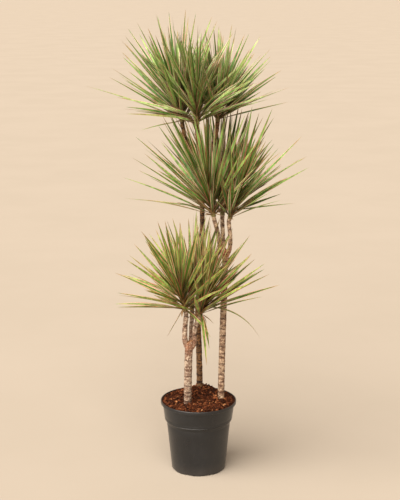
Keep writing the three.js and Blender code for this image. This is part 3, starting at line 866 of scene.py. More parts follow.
@dataclass(frozen=True)
class StudioFloor:
    """A plain pale floor, hardly mottled."""

    light: Colour = (0.468, 0.408, 0.336, 1)
    deep: Colour = (0.453, 0.394, 0.322, 1)
    roughness: tuple[float, float] = (0.8, 0.9)

    def make(self) -> bpy.types.Material:
        """Builds the material."""
        material, net, shader = new_material("studio_floor")
        clouds = net.grain(net.place(), 1.4, 3)
        net.feed(shader.inputs["Base Color"], net.blend(net.step(clouds, 0.3, 0.7), self.light, self.deep))
        net.feed(shader.inputs["Roughness"], net.step(clouds, 0.3, 0.7, *self.roughness))
        return material


# ---------------------------- pot


@dataclass
class NurseryPot:
    """The round pot, one moulding turned about its axis, with drain arches and drain holes.

    Lengths are in millimetres. A pair is a radius and a height, or how far a corner is cut across
    and up.
    """

    sides: int = 160
    height: float = 227.5
    wall: float = 2.2
    foot_radius: float = 85.5
    foot_ring: float = 7.0
    foot_bevel: tuple[tuple[float, float], ...] = ((1.6, 0.0), (0.5, 0.5))
    ring_corner: tuple[float, float] = (0.7, 0.7)
    ring_fillet: tuple[float, float] = (1.5, 1.2)
    side_heights: tuple[float, ...] = (1.8, 6, 20, 45, 75, 105, 130)
    body_top: tuple[float, float] = (101.4, 160.0)
    step: tuple[tuple[float, float], ...] = ((101.7, 161.2), (102.8, 162.6), (104.8, 163.9), (106.6, 164.8))
    collar_foot: tuple[float, float] = (107.4, 167.0)
    collar_heights: tuple[float, float] = (190, 205)
    collar_top: tuple[float, float] = (114.0, 217.0)
    collar_groove: tuple[tuple[float, float], ...] = ((-0.3, -1.2), (-0.8, -0.6), (-0.8, 0.4), (0.1, 1.0))
    lip_radius: float = 120.0
    lip_thickness: float = 3.4
    lip_round: float = 1.7
    lip_rise: float = 0.1
    lip_fillet: tuple[float, float] = (0.8, 0.3)
    round_points: int = 6
    line_heights: tuple[float, float] = (153.5, 175.5)
    line_reach: tuple[float, float] = (1.5, 0.5)
    line_depth: float = 0.35
    floor_underside: float = 5.0
    floor_top: float = 7.5
    floor_fillet: float = 2.0
    floor_middle: float = 2.0
    hub_radius: float = 24.0
    hub_corner: tuple[float, float] = (1.2, 0.8)
    hub_fillet: tuple[float, float] = (1.5, 1.0)
    arches: int = 8
    arch_width: float = 35.0
    arch_height: float = 4.4
    arch_fullness: float = 0.8
    first_arch: float = 22.5
    drains: int = 4
    drain_radius: float = 7.0
    drain_ring: float = 54.0
    drain_sides: int = 28
    drill_excess: float = 3.0

    def side_radius(self, z: float) -> float:
        """The outside radius of the tapered body or the collar.

        Args:
            z: The height.

        Returns:
            The radius.
        """
        if z <= self.body_top[1]:
            return mix(self.foot_radius, self.body_top[0], z / self.body_top[1])
        share = (z - self.collar_foot[1]) / (self.collar_top[1] - self.collar_foot[1])
        return mix(self.collar_foot[0], self.collar_top[0], share)

    def rounded(self, radius: float, z: float, start: float, turn: float) -> list[tuple[float, float]]:
        """A corner rounded about a middle, from the angle start (0 outwards, 90 up) on by turn."""
        angles = np.radians(start + turn * np.linspace(0, 1, self.round_points))
        return [(radius + self.lip_round * math.cos(a), z + self.lip_round * math.sin(a)) for a in angles]

    def outside(self) -> list[tuple[float, float]]:
        """The profile from the hub's edge underneath, out, and up to the lip's top."""
        inner_foot = self.foot_radius - self.foot_ring
        hub, under = self.hub_radius, self.floor_underside
        points = [(hub - self.hub_corner[0], 0.0), (hub, self.hub_corner[1])]
        points += [(hub, under - self.hub_fillet[1]), (hub + self.hub_fillet[0], under)]
        points += [(inner_foot - self.ring_fillet[0], under), (inner_foot, under - self.ring_fillet[1])]
        points += [(inner_foot, self.ring_corner[1]), (inner_foot + self.ring_corner[0], 0.0)]
        points += [(self.foot_radius - cut, z) for cut, z in self.foot_bevel]
        points += [(self.side_radius(z), z) for z in self.side_heights]
        points += self.moulding_line(self.line_heights[0])
        foot, z = self.collar_foot
        points += [self.body_top, *self.step]
        points += [(foot + out, z + up) for out, up in self.collar_groove]
        points += self.moulding_line(self.line_heights[1])
        points += [(self.side_radius(z), z) for z in self.collar_heights]
        radius, z = self.collar_top
        middle, (out, up) = self.lip_radius - self.lip_round, self.lip_fillet
        points += [(radius, z), (radius + out, z + up), (middle - 1, z + self.lip_rise)]
        points += self.rounded(middle, z + self.lip_round + self.lip_rise, -90, 90)
        points += self.rounded(middle, self.height - self.lip_round, 0, 180)
        return points

    def moulding_line(self, z: float) -> list[tuple[float, float]]:
        """A faint line pressed into the side.

        Args:
            z: The height of its middle.

        Returns:
            Points of the profile.
        """
        radius = self.side_radius(z)
        sunk = radius - self.line_depth
        edge, bed = self.line_reach
        return [(radius, z - edge), (sunk, z - bed), (sunk, z + bed), (radius, z + edge)]

    def inside(self) -> list[tuple[float, float]]:
        """The profile from the lip's top down the inside to the floor's middle."""
        lip = self.lip_radius - self.lip_thickness
        floor, fillet = self.side_radius(self.floor_top) - self.wall, self.floor_fillet
        points = [(lip, self.collar_top[1] + self.wall)]
        points += [(self.collar_top[0] - self.wall, self.collar_top[1] - self.wall)]
        points += [(radius - self.wall, z) for radius, z in (self.collar_foot, self.body_top)]
        points += [(floor, self.floor_top + fillet), (floor - fillet, self.floor_top)]
        points += [(self.floor_middle, self.floor_top)]
        return points

    def arch_rise(self, angles: np.ndarray) -> np.ndarray:
        """How far the foot ring is lifted off the ground.

        Args:
            angles: Angles round the ring, in radians.

        Returns:
            The lift at each angle.
        """
        spacing = 360 / self.arches
        off = (np.degrees(angles) - self.first_arch + spacing / 2) % spacing - spacing / 2
        across = np.radians(off) * self.foot_radius / (self.arch_width / 2)
        return self.arch_height * np.clip(1 - np.abs(across), 0, 1) ** self.arch_fullness

    def build(self, material: bpy.types.Material) -> bpy.types.Object:
        """Turns the profile, lifts the foot into arches and drills the drain holes.

        Args:
            material: The pot's plastic.

        Returns:
            The finished pot.
        """
        profile = np.array(self.outside() + self.inside())
        rise = self.arch_rise(ring_angles(self.sides))
        rings = []
        for radius, z in profile:
            in_foot = radius > self.hub_radius + 2 and z < self.floor_underside
            lift = rise * (1 - z / self.floor_underside) if in_foot else 0 * rise
            rings.append(ring_points(self.sides, radius, z + lift))
        draft = MeshDraft()
        draft.add(np.vstack(rings), loft_faces(len(rings), self.sides))
        piece = draft.build("nursery_pot", [material], sharp=42)
        self.drill(piece)
        return piece

    def drill(self, piece: bpy.types.Object) -> None:
        """Cuts the drain holes through the floor.

        Args:
            piece: The pot.
        """
        draft = MeshDraft()
        bottom = self.floor_underside - self.drill_excess
        for i in range(self.drains):
            turn = i * 2 * math.pi / self.drains
            middle = self.drain_ring * np.array([math.cos(turn), math.sin(turn), 0])
            low = middle + ring_points(self.drain_sides, self.drain_radius, bottom)
            high = low + np.array([0, 0, self.floor_top - self.floor_underside + 2 * self.drill_excess])
            draft.add(np.vstack([low, high]), loft_faces(2, self.drain_sides))
        cutter = draft.build("drain_cutter", [])
        cut = piece.modifiers.new("drains", "BOOLEAN")
        cut.object = cutter
        cut.operation = "DIFFERENCE"
        cut.solver = "EXACT"
        graph = bpy.context.evaluated_depsgraph_get()
        drilled = bpy.data.meshes.new_from_object(piece.evaluated_get(graph))
        piece.modifiers.clear()
        piece.data = drilled
        piece.data.name = piece.name
        bpy.data.objects.remove(cutter)


# ---------------------------- soil


CHIP_FACES: tuple[Face, ...] = (
    (0, 3, 2, 1), (4, 5, 6, 7), (0, 1, 5, 4), (1, 2, 6, 5), (2, 3, 7, 6), (3, 0, 4, 7),
)


@dataclass
class RootBall:
    """The root ball: peat and bark that fill the pot, mounded behind, with loose chips on top.

    mound gives the mound's place in x and y, its height and its spread. A pair of chip sizes is a
    range: the length in millimetres, the others as shares of the length. The chips' tints are drawn
    from a beta distribution, which the two numbers shape. Banked chips lie round a cane's foot.
    """

    pot: NurseryPot
    sides: int = 120
    wall_gap: float = 0.42
    edge_height: float = 224.5
    mound: tuple[float, float, float, float] = (12.0, 80.0, 27.0, 48.0)
    lump_height: float = 1.9
    lump_widths: tuple[float, float, float, float] = (7.4, 8.1, 4.6, 5.5)
    rings: int = 38
    middle: float = 2.5
    bottom_middle: float = 4.0
    floor_gap: float = 0.3
    crumb: float = 2.6
    crumb_sizes: tuple[float, float] = (6.5, 2.8)
    fine_crumb: float = 0.6
    smooth_edge: float = 3.0
    chips: int = 1900
    chip_length: tuple[float, float] = (4.0, 19.0)
    chip_width: tuple[float, float] = (0.25, 0.7)
    chip_depth: tuple[float, float] = (0.15, 0.4)
    deepest_chip: float = 4.0
    short_chips: float = 2.2
    chip_corners: tuple[float, float] = (0.55, 1.0)
    chip_lean: tuple[float, float] = (0.4, 0.5)
    chip_rise: tuple[float, float] = (-1.0, 3.2)
    chip_tints: tuple[float, float] = (1.5, 2.2)
    edge_free: float = 7.0
    foot_free: float = 2.0
    banked: int = 22
    banked_jitter: tuple[float, float] = (-0.4, 0.4)
    banked_away: tuple[float, float] = (0.5, 3.5)
    banked_size: tuple[float, float] = (0.5, 0.9)
    banked_rise: tuple[float, float] = (0.5, 3.5)
    banked_lean: float = 0.5
    banked_tints: tuple[float, float] = (1.5, 2.6)
    ball_tint: float = 0.16
    seed: int = 5

    def height(self, x: np.ndarray, y: np.ndarray) -> np.ndarray:
        """Height of the soil's top: level at the wall, mounded round the tall cane, lumpy.

        Args:
            x: Places from left to right.
            y: Places from front to back.

        Returns:
            The height at each place.
        """
        middle_x, middle_y, rise, spread = self.mound
        far = np.hypot(x - middle_x, y - middle_y) / spread
        inside = np.maximum(1 - (np.hypot(x, y) / self.pot.lip_radius) ** 4, 0)
        across, deep, rising, falling = self.lump_widths
        bumps = np.sin(x / across + 1) * np.sin(y / deep + 2)
        bumps = bumps + np.sin((x + y) / rising) * np.sin((x - y) / falling)
        return self.edge_height + (rise * np.exp(-far * far) + self.lump_height * bumps) * inside

    def top_rings(self) -> list[np.ndarray]:
        """Rings of the soil's crumbly top, from the wall to the middle."""
        angles = ring_angles(self.sides)
        edge = self.pot.lip_radius - self.pot.lip_thickness - self.wall_gap
        rings = []
        wide, fine = self.crumb_sizes
        for radius in np.linspace(edge, self.middle, self.rings):
            x, y = radius * np.cos(angles), radius * np.sin(angles)
            flat = np.column_stack([x, y, np.zeros_like(x)])
            crumbs = rough_noise(flat, wide, 3.1) + self.fine_crumb * rough_noise(flat, fine, 7.7)
            fade = 1 - smooth(edge - self.smooth_edge, edge, np.array([radius]))
            z = self.height(x, y) + crumbs * self.crumb * fade
            rings.append(np.column_stack([x, y, z]))
        return rings

    def ball_rings(self) -> list[np.ndarray]:
        """Rings of the part that fills the pot, from the floor up to the lip."""
        pot, gap = self.pot, self.wall_gap
        bottom, fillet = pot.floor_top + self.floor_gap, pot.floor_fillet
        inset = pot.wall + gap
        lip = pot.lip_radius - pot.lip_thickness - gap
        profile = [
            (self.bottom_middle, bottom),
            (pot.side_radius(bottom) - inset - fillet, bottom),
            (pot.side_radius(bottom) - inset, bottom + fillet),
            (pot.body_top[0] - inset, pot.body_top[1] + gap),
            (pot.collar_foot[0] - inset, pot.collar_foot[1] + gap),
            (pot.collar_top[0] - inset, pot.collar_top[1] - pot.wall + gap),
            (lip, pot.collar_top[1] + pot.wall + gap),
        ]
        return [ring_points(self.sides, radius, z) for radius, z in profile]

    def chip(self, draw: np.random.Generator) -> np.ndarray:
        """One chip: a rough flake, longer than wide and wider than thick.

        Args:
            draw: Where its chances come from.

        Returns:
            Its eight corners.
        """
        length = mix(*self.chip_length, draw.random() ** self.short_chips)
        width = length * draw.uniform(*self.chip_width)
        depth = min(length * draw.uniform(*self.chip_depth), self.deepest_chip)
        square = ((-1, -1), (1, -1), (1, 1), (-1, 1))
        corners = np.array([(x, y, z) for z in (-1, 1) for x, y in square], float)
        corners *= np.array([length, width, depth]) / 2
        corners *= draw.uniform(*self.chip_corners, (8, 3))
        return corners

    def scatter(self, draft: MeshDraft, feet: Sequence[tuple[float, float, float]]) -> None:
        """Strews chips over the soil.

        Args:
            draft: The mesh that they go into.
            feet: Where canes stand: x, y and radius of each.
        """
        draw = np.random.default_rng(self.seed)
        for fx, fy, foot in feet:
            self.bank_up(draft, draw, (fx, fy, foot))
        reach = self.pot.lip_radius - self.pot.lip_thickness - self.edge_free
        tip_spread, roll_spread = self.chip_lean
        for _ in range(self.chips):
            radius, turn = reach * math.sqrt(draw.random()), draw.uniform(0, 2 * math.pi)
            x, y = radius * math.cos(turn), radius * math.sin(turn)
            chip = self.chip(draw)
            spin = draw.uniform(0, 2 * math.pi)
            tip, roll = draw.normal(0, tip_spread), draw.normal(0, roll_spread)
            tint = draw.beta(*self.chip_tints)
            if any(math.hypot(x - fx, y - fy) < foot + self.foot_free for fx, fy, foot in feet):
                continue
            rise = float(self.height(np.array(x), np.array(y))) + draw.uniform(*self.chip_rise)
            turned = chip @ rotation(spin, tip, roll).T
            draft.add(turned + np.array([x, y, rise]), CHIP_FACES, chip_tint=tint)

    def bank_up(self, draft: MeshDraft, draw: np.random.Generator, foot: tuple[float, float, float]) -> None:
        """Heaps small chips against the foot of a cane.

        Args:
            draft: The mesh that they go into.
            draw: Where their chances come from.
            foot: The cane's x, y and radius.
        """
        fx, fy, radius = foot
        lean = self.banked_lean
        for i in range(self.banked):
            turn = (i + draw.uniform(*self.banked_jitter)) * 2 * math.pi / self.banked
            away = radius + draw.uniform(*self.banked_away)
            x, y = fx + away * math.cos(turn), fy + away * math.sin(turn)
            chip = self.chip(draw) * draw.uniform(*self.banked_size)
            rise = float(self.height(np.array(x), np.array(y))) + draw.uniform(*self.banked_rise)
            spin = draw.uniform(0, 2 * math.pi)
            turned = chip @ rotation(spin, draw.normal(0, lean), draw.normal(0, lean)).T
            tint = draw.beta(*self.banked_tints)
            draft.add(turned + np.array([x, y, rise]), CHIP_FACES, chip_tint=tint)

    def build(
        self, material: bpy.types.Material, feet: Sequence[tuple[float, float, float]]
    ) -> bpy.types.Object:
        """Makes the ball with its chips, clear of the canes' feet.

        Args:
            material: The bark chips.
            feet: Where canes stand: x, y and radius of each.

        Returns:
            The finished root ball.
        """
        draft = MeshDraft()
        rings = self.ball_rings() + self.top_rings()
        draft.add(np.vstack(rings), loft_faces(len(rings), self.sides), chip_tint=self.ball_tint)
        self.scatter(draft, feet)
        return draft.build("root_ball", [material], sharp=35)


def rotation(spin: float, tip: float, roll: float) -> np.ndarray:
    """A turn about Z after a tip about Y and a roll about X.

    Args:
        spin: The turn in radians.
        tip: The tip in radians.
        roll: The roll in radians.

    Returns:
        The three together, as a matrix.
    """
    (cz, sz), (cy, sy), (cx, sx) = ((math.cos(a), math.sin(a)) for a in (spin, tip, roll))
    about_z = np.array([[cz, -sz, 0], [sz, cz, 0], [0, 0, 1]])
    about_y = np.array([[cy, 0, sy], [0, 1, 0], [-sy, 0, cy]])
    about_x = np.array([[1, 0, 0], [0, cx, -sx], [0, sx, cx]])
    return about_z @ about_y @ about_x


# ---------------------------- canes

CANE_FOOT = 72.0
SHOOT_STRAIGHT = 14.0


@dataclass(frozen=True)
class Shoot:
    """A side shoot of a cane: its radii at both ends, how it ends, and the points that it follows."""

    radii: tuple[float, float]
    tilt: float
    tilt_turn: float
    path: tuple[tuple[float, float, float], ...]

    def end_direction(self) -> np.ndarray:
        """The direction in which the shoot ends, and its leafy head goes on."""
        turn, tilt = math.radians(self.tilt_turn), math.radians(self.tilt)
        return np.array([math.sin(tilt) * math.cos(turn), math.sin(tilt) * math.sin(turn), math.cos(tilt)])

    def line(self) -> SmoothLine:
        """The line of the shoot's middle, straight at its end."""
        end = np.array(self.path[-1])
        bend = end - self.end_direction() * SHOOT_STRAIGHT
        return SmoothLine([*self.path[:-1], tuple(bend), tuple(end)])


@dataclass(frozen=True)
class Cane:
    """A bare cane with its three shoots.

    middle gives x and y of its middle at even heights, from its buried foot to its sawn top, which
    slopes by cut_slope. pitch is the height of a row of leaf scars, and each scar is a groove in the
    bark: scar_place is where in its row it lies and how far it slants, scar_depth how deep it is at
    its side and how much deeper in its middle. A tube no thicker than thick_from has thin_sides. Its
    swellings wander by shares of a turn over a height. Each ring of the cut face has a share of the
    rim's size and a rise.
    """

    node: str
    bark: Bark
    top: float
    middle: tuple[tuple[float, float], ...]
    radii: tuple[float, float]
    cut_slope: float
    pitch: float
    shoots: tuple[Shoot, ...]
    sides: int = 28
    thin_sides: int = 20
    thick_from: float = 9.5
    ring_step: float = 1.6
    least_rings: int = 8
    cut_run: float = 14.0
    knobble: float = 0.03
    knobble_size: float = 17.0
    grit: float = 0.22
    grit_size: float = 4.2
    groove: float = 0.38
    groove_width: float = 0.12
    scar_place: tuple[float, float] = (0.33, 0.17)
    scar_depth: tuple[float, float] = (0.45, 0.55)
    swell: float = 0.24
    swell_pitch: float = 24.0
    swell_wander: tuple[float, float] = (0.8, 61.0)
    warm_reach: tuple[float, float] = (12.0, 62.0)
    cut_rings: tuple[tuple[float, float], ...] = ((0.94, 0.5), (0.55, 0.1))
    cut_dip: float = 0.5
    shoot_start: float = 1000.0
    shoot_spacing: float = 300.0

    def line(self) -> SmoothLine:
        """The line of the cane's middle, from its buried foot to its sawn top."""
        heights = np.linspace(CANE_FOOT, self.top, len(self.middle))
        return SmoothLine([(x, y, z) for (x, y), z in zip(self.middle, heights)])

    def foot(self) -> tuple[float, float, float]:
        """Where the cane stands: x, y and radius."""
        x, y = self.middle[1]
        return x, y, self.radii[0]

    def relief(self, angles: np.ndarray, height: np.ndarray, seed: float) -> np.ndarray:
        """How far the bark stands out.

        Args:
            angles: Angles round the cane, in radians.
            height: Heights along it.
            seed: Shifts the swellings.

        Returns:
            The relief in millimetres.
        """
        rows = height / self.pitch
        row = np.floor(rows)
        facing = np.cos(angles - row * math.radians(GOLDEN_ANGLE))
        (low, slant), (shallow, deeper), (swing, run) = self.scar_place, self.scar_depth, self.swell_wander
        off = (rows - row) - (low + slant * facing)
        scar = np.exp(-((off / self.groove_width) ** 2)) * (shallow + deeper * facing)
        swell = np.sin(2 * math.pi * height / self.swell_pitch + swing * np.sin(height / run + seed))
        return self.swell * swell - self.groove * scar

    def bark_tube(
        self, draft: MeshDraft, line: SmoothLine, radii: tuple[float, float], start: float, seed: float
    ) -> tuple[np.ndarray, int]:
        """Adds a bark-covered tube.

        Args:
            draft: The mesh that it goes into.
            line: Its middle.
            radii: Its radii at both ends.
            start: Height along the bark at which it starts, so that tubes differ.
            seed: Where in the noise its knobbles are.

        Returns:
            The points of its last ring, and the number of its sides.
        """
        length = line.length()
        rings = max(int(length / self.ring_step), self.least_rings)
        sides = self.sides if radii[0] > self.thick_from else self.thin_sides
        shares = np.linspace(0, 1, rings)
        angles = ring_angles(sides)
        places, tangents = line.points(shares), line.tangents(shares)
        side, back = cross_frame(tangents)
        cosine, sine = np.cos(angles)[None, :, None], np.sin(angles)[None, :, None]
        round_way = side[:, None] * cosine + back[:, None] * sine
        height = np.broadcast_to((start + shares * length)[:, None], (rings, sides))
        radius = mix(radii[0], radii[1], shares)[:, None] + self.relief(angles[None], height, seed)
        bare = places[:, None] + round_way * radius[..., None]
        lumps = rough_noise(bare.reshape(-1, 3), self.knobble_size, seed).reshape(rings, sides)
        fine = rough_noise(bare.reshape(-1, 3), self.grit_size, seed + 9).reshape(rings, sides)
        radius = radius * (1 + self.knobble * lumps) + self.grit * fine
        points = places[:, None] + round_way * radius[..., None]
        points = self.sloped(points) if start == 0 else points
        around = (np.broadcast_to(part(angles), (rings, sides)) for part in (np.cos, np.sin))
        carried = np.stack([*around, height], axis=-1).reshape(-1, 3)
        near_cut = shares * length if start else length * (1 - shares)
        warm = np.repeat(1 - smooth(*self.warm_reach, near_cut), sides)
        faces = loft_faces(rings, sides, ends=False)
        draft.add(points.reshape(-1, 3), faces, bark_place=carried, bark_warm=warm)
        return points[-1], sides

    def sloped(self, points: np.ndarray) -> np.ndarray:
        """Leans the sawn top of the trunk over.

        Args:
            points: Points of the trunk.

        Returns:
            The points, with those near the top moved.
        """
        share = smooth(self.top - self.cut_run, self.top, points[..., 2])
        rise = (points[..., 0] - self.middle[-1][0]) * math.tan(math.radians(self.cut_slope))
        leaned = points.copy()
        leaned[..., 2] += rise * share
        return leaned

    def cap(self, draft: MeshDraft, rim: np.ndarray, sides: int) -> None:
        """Closes the sawn top with a shallow, slightly rounded face of cut wood.

        Args:
            draft: The mesh that it goes into.
            rim: The last ring of the bark.
            sides: The number of its points.
        """
        middle, count = rim.mean(axis=0), len(self.cut_rings)
        rings = [middle + (rim - middle) * share + [0, 0, rise] for share, rise in self.cut_rings]
        points = np.vstack([rim, *rings, middle[None] - [0, 0, self.cut_dip]])
        faces = loft_faces(count + 1, sides, ends=False) + fan_faces(count * sides, sides)
        draft.add(points, faces, slot=1, bark_place=np.zeros((len(points), 3)), bark_warm=1)

    def build(self, materials: Sequence[bpy.types.Material]) -> bpy.types.Object:
        """Makes the cane with its shoots.

        Args:
            materials: The bark and the cut wood.

        Returns:
            The finished cane.
        """
        draft = MeshDraft()
        seed = self.top / 100
        rim, sides = self.bark_tube(draft, self.line(), self.radii, 0.0, seed)
        self.cap(draft, rim, sides)
        for i, shoot in enumerate(self.shoots):
            start = self.shoot_start + self.shoot_spacing * i
            self.bark_tube(draft, shoot.line(), shoot.radii, start, seed + i + 1)
        return draft.build(f"{self.node}_bark", materials, sharp=60)


CANES = (
    Cane(
        node="cane_short", bark=Bark.PALE, top=429,
        middle=((-34, -28), (-34, -28), (-34, -28), (-33.2, -29), (-31.8, -30), (-29, -30)),
        radii=(12.6, 12.2), cut_slope=22, pitch=13.0,
        shoots=(
            Shoot(
                radii=(9, 6.8), tilt=13, tilt_turn=205,
                path=((-29, -30, 402), (-41, -32, 428), (-42, -33, 470), (-41, -35, 530)),
            ),
            Shoot(
                radii=(8, 6.8), tilt=15, tilt_turn=-18,
                path=((-29, -30, 398), (-13.5, -27, 424), (-11, -26, 470), (4, -28, 512)),
            ),
            Shoot(
                radii=(7, 6.8), tilt=12, tilt_turn=95,
                path=((-29, -30, 404), (-24, -12, 428), (-22, -4, 470), (-20, 8, 522)),
            ),
        ),
    ),
    Cane(
        node="cane_medium", bark=Bark.BEIGE, top=708,
        middle=((72, 15), (72, 15), (72.4, 16), (74.3, 20.5), (76.6, 24.5), (79.2, 27), (82, 28.6), (85, 30)),
        radii=(10.9, 9.6), cut_slope=18, pitch=11.0,
        shoots=(
            Shoot(
                radii=(6.6, 6.6), tilt=12, tilt_turn=195,
                path=((85, 30, 684), (68, 24, 716), (60, 21, 765), (47, 16, 818)),
            ),
            Shoot(
                radii=(6.6, 6.6), tilt=13, tilt_turn=-20,
                path=((85, 30, 680), (97, 26, 712), (99, 25, 750), (97, 24, 810)),
            ),
            Shoot(
                radii=(6.6, 6.6), tilt=11, tilt_turn=80,
                path=((85, 30, 686), (79, 44, 716), (76, 52, 760), (75, 62, 812)),
            ),
        ),
    ),
    Cane(
        node="cane_tall", bark=Bark.DARK, top=1003,
        middle=(
            (3.6, 70), (3.6, 70), (3.4, 70), (1.2, 70), (-2, 70),
            (3, 70), (10.4, 70), (12, 70), (10.4, 70), (8, 70),
        ),
        radii=(10.8, 6.8), cut_slope=-20, pitch=12.0,
        shoots=(
            Shoot(
                radii=(6.4, 6.6), tilt=8, tilt_turn=178,
                path=((8, 70, 975), (-14, 70, 1008), (-38, 68, 1045), (-50, 66, 1104)),
            ),
            Shoot(
                radii=(6.4, 6.6), tilt=4, tilt_turn=5,
                path=((8, 70, 970), (32, 72, 1004), (50, 75, 1046), (59, 76, 1104)),
            ),
            Shoot(
                radii=(6.4, 6.6), tilt=8, tilt_turn=265,
                path=((8, 70, 980), (4, 52, 1006), (-2, 36, 1048), (-4, 28, 1102)),
            ),
        ),
    ),
)


# ---------------------------- leaves


@dataclass(frozen=True)
class StemForm:
    """The leafy end of a shoot, which the leaves stand out of."""

    length: float = 92.0
    base_radius: float = 8.4
    tip_radius: float = 6.0
    gap: float = 0.3

    def radius(self, height: float) -> float:
        """The radius at a share of the length."""
        return mix(self.base_radius, self.tip_radius, height)


@dataclass(frozen=True)
class LeafForm:
    """What all leaves have in common: their outline, their fold, and where their corners lie.

    plain_corners gives, for leaves that bend less than so many degrees, where along a plain leaf its
    corners lie. A blade is narrowed at its foot, folded deepest there, and sways to one side.
    """

    widest: float = 11.5
    root: float = 4.0
    keel: float = 2.1
    root_depth: float = 0.55
    taper_start: float = 1.9
    taper_power: float = 0.8
    fold: float = 1.3
    thickness: float = 0.75
    stations: int = 13
    light_way: tuple[float, float, float] = (-0.25, -0.9, 0.35)
    most_turn: float = 60.0
    stray_turn: float = 26.0
    foot_width: float = 0.5
    foot_run: float = 0.3
    turn_run: tuple[float, float] = (0.02, 0.4)
    crowding: float = 0.92
    sway: float = 0.008
    channel: float = 1.4
    least_slim: float = 0.15
    foot_fold: float = 1.5
    edge_thinning: float = 0.5
    plain_corners: tuple[tuple[float, tuple[float, ...]], ...] = (
        (9.0, (0, 0.52, 1)), (45.0, (0, 0.34, 0.7, 1)), (180.0, (0, 0.18, 0.38, 0.6, 0.82, 1)),
    )

    def half_width(self, shares: np.ndarray, width: float) -> np.ndarray:
        """Half a leaf's width at shares of its length: even, then tapered to a point."""
        return width / 2 * np.minimum(1, self.taper_start * (1 - shares) ** self.taper_power)

    def corner_shares(self, bend: float) -> np.ndarray:
        """The shares of its length at which a plain leaf has corners: more where it bends more."""
        return np.array(next(shares for most, shares in self.plain_corners if bend <= most))


@dataclass(frozen=True)
class SpiralRule:
    """The spiral of leaves round a stem, from the oldest to the youngest. Pairs are (low, high).

    A leaf dries the likelier the older it is: its draw has to pass dry_from, and dry_rise more for
    the youngest.
    """

    lowest: float = 0.05
    rise: float = 0.92
    crowding: float = 1.25
    opening: float = 0.86
    old_bend: float = 11.0
    young_bend: float = 2.0
    stray_turn: tuple[float, float] = (-7, 7)
    stray_angle: tuple[float, float] = (-5, 5)
    stray_length: tuple[float, float] = (0.9, 1.07)
    stray_bend: tuple[float, float] = (0.4, 1.5)
    stray_roll: tuple[float, float] = (-22, 22)
    stray_width: tuple[float, float] = (0.88, 1.06)
    filler_length: tuple[float, float] = (0.52, 0.95)
    shortest: float = 0.82
    bulge: float = 0.2
    swell_from: float = 0.2
    swell_run: float = 0.72
    dry_from: float = 0.62
    dry_rise: float = 1.6
    driest: float = 0.75


@dataclass(frozen=True)
class RemnantRule:
    """What is left of old leaves at a stem's foot. Pairs are (low, high), widths are shares."""

    height: tuple[float, float] = (0.01, 0.12)
    turn_steps: float = 1.37
    angle: tuple[float, float] = (70, 125)
    length: tuple[float, float] = (26, 62)
    bend: tuple[float, float] = (30, 95)
    roll: tuple[float, float] = (-40, 40)
    width: tuple[float, float] = (0.45, 0.8)
    dry: tuple[float, float] = (0.65, 1.0)


STEM = StemForm()
LEAF = LeafForm()
SPIRAL = SpiralRule()
REMNANT = RemnantRule()


@dataclass(frozen=True)
class LeafPlan:
    """Where a leaf stands on its head, and its form. tint picks its colours and dry browns it."""

    height: float
    turn: float
    angle: float
    length: float
    bend: float
    roll: float = 0.0
    width: float = LEAF.widest
    tint: float = 0.5
    dry: float = 0.0

    def moved(self, reach: float, way: float, least_spread: float = 0.25) -> LeafPlan:
        """The same leaf a few degrees away.

        Args:
            reach: How far away.
            way: In which direction, in radians: 0 leans it further out.
            least_spread: Keeps the turns of an upright leaf from growing too large.

        Returns:
            The moved leaf.
        """
        spread = max(math.sin(math.radians(self.angle)), least_spread)
        turn = self.turn + reach * math.sin(way) / spread
        angle = max(self.angle + reach * math.cos(way), 1)
        return replace(self, turn=turn, angle=angle)


